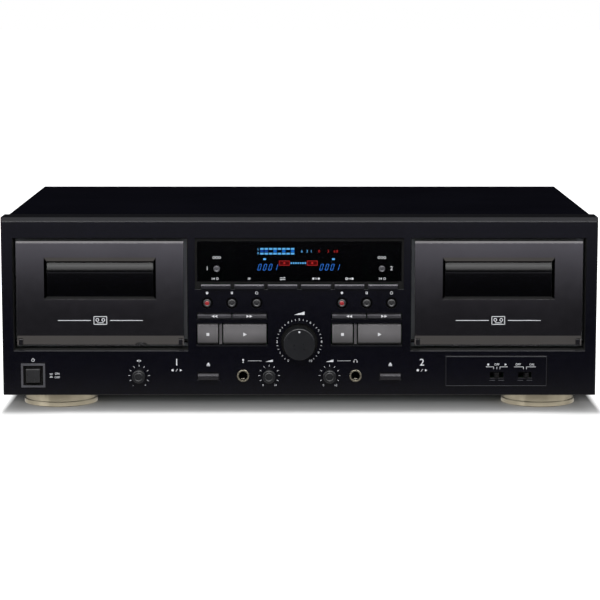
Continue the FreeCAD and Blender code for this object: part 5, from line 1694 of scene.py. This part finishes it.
    def light_counters(self, high: float = 4.4 * MM, wide: float = 1.75 * MM, line: float = 0.3 * MM) -> None:
        """The two counters, 0001, in slanting segments.

        Args:
            high: Height of a digit.
            wide: Width of a digit.
            line: Width of a segment.
        """
        slant, pitch = 0.28, 3.95 * MM
        low = self.level - 13.9 * MM
        corners = {"a": ((0, 2), (1, 2)), "b": ((1, 2), (1, 1)), "c": ((1, 1), (1, 0)), "d": ((1, 0), (0, 0))}
        corners.update({"e": ((0, 0), (0, 1)), "f": ((0, 1), (0, 2))})
        counters = Print("counter_digits", self.front)
        for start in self.counters:
            for number, lit in enumerate(("abcdef", "abcdef", "abcdef", "bc")):
                for name in lit:
                    ends = []
                    for across, up in corners[name]:
                        z = up * high / 2
                        ends.append(Vector((start + number * pitch + across * wide + z * slant, low + z)))
                    gap = (ends[1] - ends[0]).normalized() * line * 0.55
                    counters.line(tuple(ends[0] + gap), tuple(ends[1] - gap), line)
        self.light(counters, self.finishes.digit_glow)


@dataclass
class Controls:
    """Every key, button, knob and lever, with the signs on the keys.

    Attributes:
        finishes: The deck's materials.
        small_knob: Radius under which a knob has a ring and a notch.
    """

    finishes: Finishes
    small_knob: float = 6 * MM

    def build(self) -> None:
        """Dresses the controls."""
        for node in SMALL_KEYS:
            dress(node, self.finishes.small_key)
        signs = {
            "rewind": (Symbol.REWIND, 3.0 * MM, self.finishes.wind_key),
            "forward": (Symbol.FORWARD, 3.0 * MM, self.finishes.wind_key),
            "stop": (Symbol.STOP, 2.8 * MM, self.finishes.key),
            "play": (Symbol.PLAY, 3.3 * MM, self.finishes.key),
        }
        for side in SIDES:
            for name, (symbol, size, material) in signs.items():
                node = f"{side}_{name}_key"
                dress(node, material)
                self.print_key(node, symbol, size)
            dress(f"{side}_eject_key", self.finishes.eject_key)
            # Painted shade: the bodies of the round buttons and the counter button, seen in the gaps round
            # their caps, are painted near black.
            for name in ROW_BUTTONS:
                dress(f"{side}_{name}_button", self.finishes.slot)
                self.cap(f"{side}_{name}_button", self.finishes.button, 0.94)
            dress(f"{side}_counter_button", self.finishes.slot)
            self.cap(f"{side}_counter_button", self.finishes.dome, 0.78)
            self.red_lens(f"{side}_record_button")
        dress("power_button", self.finishes.button)
        for node in ("rec_level_knob", "mic_level_knob", "phones_level_knob", "pitch_knob"):
            self.knob(node)
        for node in ("timer_switch_lever", "noise_switch_lever"):
            dress(node, self.finishes.lever)
        self.pointer("rec_level_knob", 0.75 * MM)

    def print_key(self, node: str, symbol: Symbol, size: float) -> None:
        """Prints a sign on a key's face.

        Args:
            node: The key.
            symbol: The sign.
            size: Size of the sign.
        """
        region = Region.of(node)
        marks = Print(f"{node}_sign", region.low.y)
        marks.symbol(symbol, region.middle.x, region.middle.z, size)
        marks.lay(self.finishes.key_ink, node)

    def knob(self, node: str, tube: float = 0.42 * MM) -> None:
        """Dresses a knob, rounds its front edge, and gives a small one its rim and notch.

        Args:
            node: The knob.
            tube: Radius of the rounded edge.
        """
        region = Region.of(node)
        dress(node, self.finishes.knob)
        radius = region.size.x / 2 - 0.2 * MM
        # The rim plastic is lighter than the knob's, partly a painted highlight.
        rim = self.finishes.rim
        self.spin(node, "rim", ring_points(radius, -tube, tube, 10), rim, 72)
        if radius < self.small_knob:
            self.spin(node, "ring", ring_points(0.66 * radius, 0, 0.3 * MM, 10), rim)
            x, z = region.middle.x, region.middle.z
            notch = Print(f"{node}_notch", region.low.y, 0.12 * MM)
            notch.line((x, z + 0.6 * radius), (x, z + 0.98 * radius), 0.7 * MM)
            notch.lay(self.finishes.grey_mark_and_highlight, node)

    def spin(
        self, node: str, part: str, profile: Sequence[Point], material: Material, count: int = 48
    ) -> None:
        """Adds a turned piece to the front of a round control.

        Args:
            node: The control.
            part: Name of the piece, after the control's name.
            profile: Points as radius and height over the control's front.
            material: Its finish.
            count: Number of sides.
        """
        region = Region.of(node)
        centre = Vector((region.middle.x, region.low.y, region.middle.z))
        shape = lathe(profile, centre, Vector((0, -1, 0)), count)
        add_piece(f"{node}_{part}", shape, material, node)

    def cap(self, node: str, material: Material, share: float) -> None:
        """The rounded rim and dished middle of a round button's front, as a share of the largest one."""
        self.spin(node, "cap", in_metres(CAP_PROFILE, share), material, 64)

    def red_lens(self, node: str) -> None:
        """The red middle of a record button."""
        self.spin(node, "lens", in_metres(LENS_PROFILE), self.finishes.red)

    def pointer(self, node: str, radius: float, dimple: float = 0.3 * MM, up: float = 9.2 * MM) -> None:
        """The white dot in a knob's dimple.

        Args:
            node: The knob.
            radius: Radius of the dimple.
            dimple: Depth of the dimple.
            up: From the knob's axis up to the dimple.
        """
        region = Region.of(node)
        dot = Print(f"{node}_dot", region.low.y + dimple, 0.2 * MM)
        dot.disc(region.middle.x, region.middle.z + up, radius * 0.98)
        dot.lay(self.finishes.white_ink, node)


@dataclass
class Deck:
    """One cassette deck: its door, window and what shows in the well behind them.

    Attributes:
        side: Which of the two it is.
        finishes: The deck's materials.
        bend: Height of the pane's curved upper part.
        drop: How far the pane curves back there.
        lean: How far its lower edge lies back.
        flange: Thickness of its flange.
        lap: How far the flange laps over the door.
    """

    side: str
    finishes: Finishes
    bend: float = 8.8 * MM
    drop: float = 2.2 * MM
    lean: float = 0.5 * MM
    flange: float = 1.2 * MM
    lap: float = 2.2 * MM

    def build(self) -> None:
        """Dresses the door and the moving pieces of the transport."""
        side = self.side
        dress(f"{side}_door", self.finishes.door)
        self.pane()
        for name in ("supply", "takeup"):
            dress(f"{side}_{name}_spindle", self.finishes.ivory)
        wheel = Region.of(f"{side}_flywheel").middle
        dress(f"{side}_flywheel", Turned(f"{side}_wheel_steel", tone(196, 196, 198), wheel, "Y").make())
        dress(f"{side}_head_plate", self.finishes.steel)
        dress(f"{side}_pinch_roller", self.finishes.roller)
        self.print_door()

    def pane(self) -> None:
        """The smoked pane, leaning a little and curved back at its top, with its flange behind the door."""
        node = f"{self.side}_door_window"
        region = Region.of(node)
        front, back = region.low.y, region.high.y
        low, high = region.low.z + self.lap, region.high.z - self.lap
        bend = high - self.bend
        steps = [step / 20 for step in range(21)]
        outline = [(front + self.lean, low)]
        outline += [(front + self.drop * step**1.9, bend + self.bend * step) for step in steps]
        ledge = back - self.flange
        outline += [(ledge, high), (ledge, high + self.lap), (back, high + self.lap)]
        outline += [(back, low - self.lap), (ledge, low - self.lap), (ledge, low)]
        shape = bmesh.new()
        ends = []
        for x in (region.low.x + self.lap, region.high.x - self.lap):
            ends.append([shape.verts.new((x, y, z)) for y, z in outline])
            shape.faces.new(ends[-1])
        for a, b, c, d in zip(*ends, ends[1][1:] + ends[1][:1], ends[0][1:] + ends[0][:1]):
            shape.faces.new((a, b, c, d))
        body = f"{self.side}_door"
        pane = add_piece(f"{self.side}_pane", shape, self.finishes.window, body, 25)
        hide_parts(node)

    def print_door(self, rise: float = 18.5 * MM, size: float = 5.2 * MM, reach: float = 31 * MM) -> None:
        """A small cassette outline on the door, with a thin line on either side.

        Args:
            rise: From the door's lower edge up to the sign.
            size: Size of the outline.
            reach: From the sign's middle to a line's outer end.
        """
        door = Region.of(f"{self.side}_door")
        x, z = door.middle.x, door.low.z + rise
        marks = Print(f"{self.side}_door_sign", door.low.y)
        marks.symbol(Symbol.CASSETTE, x, z, size)
        for turned in (-1, 1):
            marks.line((x + turned * 7 * MM, z), (x + turned * reach, z), 0.45 * MM)
        marks.lay(self.finishes.white_ink, f"{self.side}_door")


@dataclass
class Case:
    """The cover, the base, the feet and the back.

    Attributes:
        finishes: The deck's materials.
        proud: How far the line sockets stand out of the rear sheet.
        line_level: Height of the middle of the line sockets.
        groups: Middles of their two groups from left to right.
        step: From a group's middle to a socket's, across and up.
        lip_places: Places of the lip's screws from left to right.
    """

    finishes: Finishes
    proud: float = 9.2 * MM
    line_level: float = 94 * MM
    groups: Point = (-128 * MM, -76 * MM)
    step: float = 7 * MM
    lip_places: tuple[float, ...] = (-180 * MM, -60 * MM, 60 * MM, 180 * MM)

    @property
    def sheet(self) -> float:
        """Place of the rear sheet's back in depth."""
        return Region.of("rear_sockets").high.y - self.proud

    def build(self) -> None:
        """Dresses the case and its fittings."""
        dress("top_cover", self.finishes.cover)
        dress("chassis_base", self.finishes.zinc)
        dress("rear_panel", self.finishes.rear)
        dress("foot_pads", self.finishes.rubber)
        dress("screws", self.finishes.black)
        dress("power_inlet", self.finishes.black)
        dress("rear_sockets", self.finishes.nickel)
        dress("front_jacks", self.finishes.jack)
        dress("transport_frames", self.finishes.zinc)
        dress("drive_motors", self.finishes.steel)
        dress("control_board", self.finishes.control_board)
        dress("main_board", self.finishes.main_board)
        dress("feet", self.finishes.feet)
        self.socket_rings()
        self.jack_contacts()
        self.print_rear()
        self.cross_slots()
        self.lip_screws()

    def socket_rings(self) -> None:
        """The coloured collars round the line sockets."""
        back = Region.of("rear_sockets").high.y - 8.4 * MM
        number = 0
        for middle in self.groups:
            for across, material in ((-self.step, self.finishes.ivory), (self.step, self.finishes.ring)):
                for up in (-self.step, self.step):
                    number += 1
                    centre = Vector((middle + across, back, self.line_level + up))
                    ring = lathe(in_metres(COLLAR_PROFILE), centre, Vector((0, 1, 0)))
                    add_piece(f"socket_ring_{number}", ring, material, "root")

    def jack_contacts(self) -> None:
        """The bright spring that shows low inside each jack."""
        jacks = Region.of("front_jacks")
        for name, x in (("left", jacks.low.x + JACK_INSET), ("right", jacks.high.x - JACK_INSET)):
            low = Vector((x - 1.2 * MM, jacks.low.y + 1.0 * MM, jacks.middle.z - 2.9 * MM))
            spring = block(low, low + Vector((2.4 * MM, 4 * MM, 1.1 * MM)), 0.4 * MM, 3)
            add_piece(f"{name}_jack_contact", spring, self.finishes.nickel, "root")

    def print_rear(self) -> None:
        """Plain numbers, letters and outlines round the sockets on the rear sheet."""
        marks = Print("rear_signs", self.sheet, behind=True)
        for middle, word in zip(self.groups, "12"):
            marks.box(middle, self.line_level, 44 * MM, 40 * MM, 0.4 * MM)
            marks.text(word, middle, self.line_level + 25.5 * MM, 5 * MM)
            for up, letter in ((self.step, "L"), (-self.step, "R")):
                marks.text(letter, middle + 17.5 * MM, self.line_level + up, 3 * MM)
            for turned in (1, -1):
                x, z = middle - turned * self.step, self.line_level - 16.4 * MM
                marks.line((x, z), (x, z + 2 * MM), 0.5 * MM)
                tip = z + MM + turned * 2 * MM
                foot = tip - turned * 1.4 * MM
                marks.prism([(x - 1.2 * MM, foot), (x + 1.2 * MM, foot), (x, tip)])
        marks.lay(self.finishes.white_ink, "root")

    def cross_slots(self, reach: float = 2.3 * MM, width: float = 0.8 * MM) -> None:
        """The cross slots in the side screws' heads, as thin near black bars: painted shade for their
        recesses.

        Args:
            reach: From the middle of a head to the end of a slot.
            width: Width of a slot.
        """
        screws = Region.of("screws")
        head = 3.8 * MM
        thick = 0.05 * MM
        level = screws.middle.z
        number = 0
        for x in (screws.low.x, screws.high.x):
            for y in (screws.low.y + head, screws.high.y - head):
                number += 1
                inner = x - math.copysign(0.3 * MM, x)
                outer = x + math.copysign(thick, x)
                left, right = min(inner, outer), max(inner, outer)
                slots = bmesh.new()
                for along, up in ((reach, width / 2), (width / 2, reach)):
                    low = Vector((left, y - along, level - up))
                    high = Vector((right, y + along, level + up))
                    slab = block(low, high, thick / 2, 1)
                    part = bpy.data.meshes.new("slot")
                    slab.to_mesh(part)
                    slab.free()
                    slots.from_mesh(part)
                    bpy.data.meshes.remove(part)
                add_piece(f"screw_slot_{number}", slots, self.finishes.slot, "root")

    def lip_screws(self) -> None:
        """The four screws that hold the cover's lip to the rear sheet."""
        cover = Region.of("top_cover")
        level = cover.high.z - 6.5 * MM
        profile = in_metres(LIP_SCREW_PROFILE)
        for number, x in enumerate(self.lip_places, 1):
            head = lathe(profile, Vector((x, cover.high.y, level)), Vector((0, 1, 0)), 36)
            add_piece(f"lip_screw_{number}", head, self.finishes.black, "root")


@dataclass
class Studio:
    """The floor, the lamps and the camera.

    Attributes:
        distance: From the face to the camera.
        height: Height of the camera over the floor.
        lens: Focal length for a sensor of 36 mm.
        aim: Height that the camera looks at, on the face.
        across: How far right of the deck's middle the camera stands and looks.
        half: Half the width of the deck's face.
        back: Place in depth of the back of the case.
        mirrored: Grey of the floor as gloss mirrors it, a painted light by distance in front of the face.
        lift: Light of the floor as seen, by distance in front of the face, low under the deck as part of its
            painted shadow.
        shade: Grey of the shadow painted on the floor deep under the deck and near its front edge.
        shade_at: Distances in front of the face between which one turns into the other.
        sides: From the middle, where the shade towards the deck's sides starts and ends.
        side_shade: Share of the shade's grey that is left at the sides.
        white: Grey of the floor's paint everywhere else.
        shadow_x: Middle of the deck's shadow from left to right.
        beside: From the deck's side out to where the floor's own light starts and is full.
        beyond: From the back to where that light starts and is full.
        ahead: Distances in front of the face where the shade ends and where it starts.
        front_sky: Grey of the sky in front as gloss mirrors it, by height.
        rear_sky: Grey of the sky behind.
    """

    distance: float = 1.6515
    height: float = 0.3106
    lens: float = 136.95
    aim: float = 0.0846
    across: float = 0.0005
    half: float = 0.2175
    back: float = 0.1345
    mirrored: tuple[Point, ...] = (
        (0.16, 0.1), (0.3, 0.05), (0.5, 0.04), (0.7, 0.08), (0.9, 0.18), (1.1, 0.42), (1.2, 0.5), (1.5, 0.5),
    )
    lift: tuple[Point, ...] = ((-0.055, 0.0), (-0.03, 0.12), (-0.01, 0.3), (0.01, 0.7), (0.03, 1.0))
    shade: Point = (0.15, 0.5)
    shade_at: Point = (-75 * MM, -50 * MM)
    sides: Point = (170 * MM, 205 * MM)
    side_shade: float = 0.5
    white: float = 0.82
    shadow_x: float = 1.6 * MM
    beside: Point = (0.8 * MM, 6.8 * MM)
    beyond: Point = (-10 * MM, 40 * MM)
    ahead: Point = (30 * MM, -10 * MM)
    front_sky: tuple[Point, ...] = (
        (0.0, 0.01), (0.05, 0.0125), (0.3, 0.2), (0.5, 0.7), (0.87, 0.6), (0.95, 0.2), (1.0, 0.13),
    )
    rear_sky: tuple[Point, ...] = ((0.0, 0.003), (0.3, 0.004), (0.7, 0.05), (0.9, 0.1), (1.0, 0.13))

    def build(self, face: float) -> None:
        """Sets the stage.

        Args:
            face: Place in depth of the deck's face.
        """
        self.floor(face)
        self.lamps()
        self.world()
        self.camera(face)
        bpy.context.scene.view_settings.view_transform = "Standard"

    def floor(self, face: float) -> None:
        """A white floor that runs on far behind the deck, with a shadow painted under the deck and painted
        tones that the deck's gloss mirrors.

        Args:
            face: Place in depth of the deck's face.
        """
        bpy.ops.mesh.primitive_plane_add(size=30)
        floor = bpy.context.object
        floor.name = "floor"
        recipe = Recipe("floor_paint")
        path = recipe.add("LightPath")
        glossy = path.outputs["Is Glossy Ray"]
        seen = recipe.maths("MAXIMUM", path.outputs["Is Camera Ray"], path.outputs["Is Transmission Ray"])
        x, y, _ = recipe.parts(recipe.place())
        ahead = recipe.maths("SUBTRACT", face, y)
        off = recipe.maths("ABSOLUTE", recipe.maths("SUBTRACT", x, self.shadow_x))
        aside = recipe.share(off, *(self.half + step for step in self.beside))
        behind = recipe.share(y, *(self.back + step for step in self.beyond))
        outside = recipe.maths("MAXIMUM", aside, behind)
        # Painted shadow: the floor's grey is darkened deep under the deck and near its front, less towards
        # its sides, as the camera sees it.
        edge = recipe.share(recipe.maths("ABSOLUTE", x), *self.sides, 1.0, self.side_shade)
        shaded = recipe.maths("MULTIPLY", edge, recipe.share(ahead, *self.shade_at, *self.shade))
        inside = recipe.maths("SUBTRACT", 1.0, outside)
        under = recipe.maths("MULTIPLY", inside, recipe.share(ahead, *self.ahead), seen)
        paint = recipe.mix(under, (self.white, self.white, self.white), shaded)
        recipe.set(Base_Color=recipe.mix(glossy, paint, BLACK), Roughness=0.9, Specular_IOR_Level=0.0)
        # The floor's own light as seen stays low under the deck, which is part of the painted shadow.
        open_floor = recipe.maths("MAXIMUM", outside, self.floor_lift(recipe, ahead))
        own = recipe.maths("MULTIPLY", open_floor, seen)
        recipe.set(Emission_Color=recipe.mix(glossy, WHITE, self.floor_mirrored(recipe, ahead)))
        recipe.set(Emission_Strength=recipe.maths("MAXIMUM", own, glossy))
        floor.data.materials.append(recipe.material)

    def floor_lift(self, recipe: Recipe, ahead: Socket) -> Socket:
        """The floor's own light as seen, kept low under the deck as part of its painted shadow.

        Args:
            recipe: The floor's paint in the making.
            ahead: Distance in front of the face.

        Returns:
            The light.
        """
        start, end = self.lift[0][0], self.lift[-1][0]
        return recipe.blend(recipe.share(ahead, start, end), greys(self.lift, start, end))

    def floor_mirrored(self, recipe: Recipe, ahead: Socket) -> Socket:
        """The floor's colour as gloss mirrors it: painted shade under the deck, with a painted highlight line
        under its front.

        Args:
            recipe: The floor's paint in the making.
            ahead: Distance in front of the face.

        Returns:
            The colour.
        """
        near, reach = -90 * MM, self.mirrored[-1][0]
        dark, bright, warm = (0.08, 0.08, 0.08), (0.7, 0.69, 0.67), (0.30, 0.29, 0.27)
        cool = (1.0, 0.99, 1.12)
        stops = [(near, dark), (near + 20 * MM, dark), (near + 30 * MM, bright), (-10 * MM, bright)]
        stops += [(0.0, warm), (100 * MM, warm)]
        stops += [(place, tuple(grey * share for share in cool)) for place, grey in self.mirrored]
        stops = [((place - near) / (reach - near), colour) for place, colour in stops]
        return recipe.blend(recipe.share(ahead, near, reach), stops)

    def lamp(
        self, name: str, place: Sequence[float], size: tuple[float, float], power: float, gloss: bool = True
    ) -> None:
        """Adds a soft box that faces the deck.

        Args:
            name: Name of the lamp.
            place: Where it hangs.
            size: Its width and height.
            power: Its power in watts.
            gloss: Whether glossy surfaces mirror it.
        """
        data = bpy.data.lights.new(name, "AREA")
        data.shape = "RECTANGLE"
        data.size, data.size_y = size
        data.energy = power
        lamp = bpy.data.objects.new(name, data)
        bpy.context.scene.collection.objects.link(lamp)
        lamp.location = place
        lamp.visible_camera = False
        lamp.visible_glossy = gloss
        target = Vector((0, 0, 0.07))
        lamp.rotation_euler = (target - Vector(place)).to_track_quat("-Z", "Y").to_euler()

    def lamps(self) -> None:
        """Soft boxes in front, at both sides and overhead, and two smaller ones that light the feet."""
        self.lamp("front_box", (0, -1.4, 1.9), (2.2, 1.2), 34)
        self.lamp("low_box", (0, -2.6, 1.1), (2.6, 0.9), 10)
        self.lamp("left_box", (-1.9, -0.5, 1.0), (1.2, 1.2), 10, gloss=False)
        self.lamp("right_box", (1.9, -0.5, 1.0), (1.2, 1.2), 10, gloss=False)
        self.lamp("top_box", (0, 0.2, 2.0), (2.0, 1.2), 4.5)
        self.lamp("left_strip", (-1.10, -0.85, 0.3), (0.7, 0.5), 2.2)
        self.lamp("right_strip", (1.5, -1.5, 0.45), (1.1, 0.9), 2.0)

    def world(self) -> None:
        """A surrounding light that the camera sees as white, and a front sky for the gloss."""
        world = bpy.data.worlds.new("surroundings")
        bpy.context.scene.world = world
        world.use_nodes = True
        graph = Graph(world.node_tree)
        background = graph.nodes["Background"]
        path = graph.add("LightPath")
        glossy = path.outputs["Is Glossy Ray"]
        seen = graph.maths("MAXIMUM", path.outputs["Is Camera Ray"], path.outputs["Is Transmission Ray"])
        _, y, z = graph.parts(graph.add("TexCoord").outputs["Generated"])
        ahead = graph.blend(z, greys(self.front_sky))
        behind = graph.blend(z, greys(self.rear_sky))
        sky = graph.mix(graph.share(y, 0.1, -0.1), behind, ahead)
        graph.feed(background.inputs["Color"], graph.mix(glossy, WHITE, sky))
        plain = graph.share(seen, 0, 1, 0.25, 1.0)
        graph.feed(background.inputs["Strength"], graph.share(glossy, 0, 1, plain, 4.0))

    def camera(self, face: float) -> None:
        """Puts the camera where the photograph was taken.

        Args:
            face: Place in depth of the deck's face.
        """
        data = bpy.data.cameras.new("camera")
        data.lens = self.lens
        data.sensor_width = 36
        data.clip_end = 50
        camera = bpy.data.objects.new("camera", data)
        bpy.context.scene.collection.objects.link(camera)
        camera.location = (self.across, face - self.distance, self.height)
        target = Vector((self.across, face, self.aim))
        camera.rotation_euler = (target - camera.location).to_track_quat("-Z", "Y").to_euler()
        bpy.context.scene.camera = camera


def main() -> None:
    """Builds the deck's looks and the stage."""
    logging.basicConfig(level=logging.INFO, format="%(message)s")
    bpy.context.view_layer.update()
    finishes = Finishes()
    face = Face(finishes)
    face.build()
    Display(finishes).build()
    Controls(finishes).build()
    for side in SIDES:
        Deck(side, finishes).build()
    Case(finishes).build()
    Studio().build(face.front)


if __name__ == "__main__":
    main()
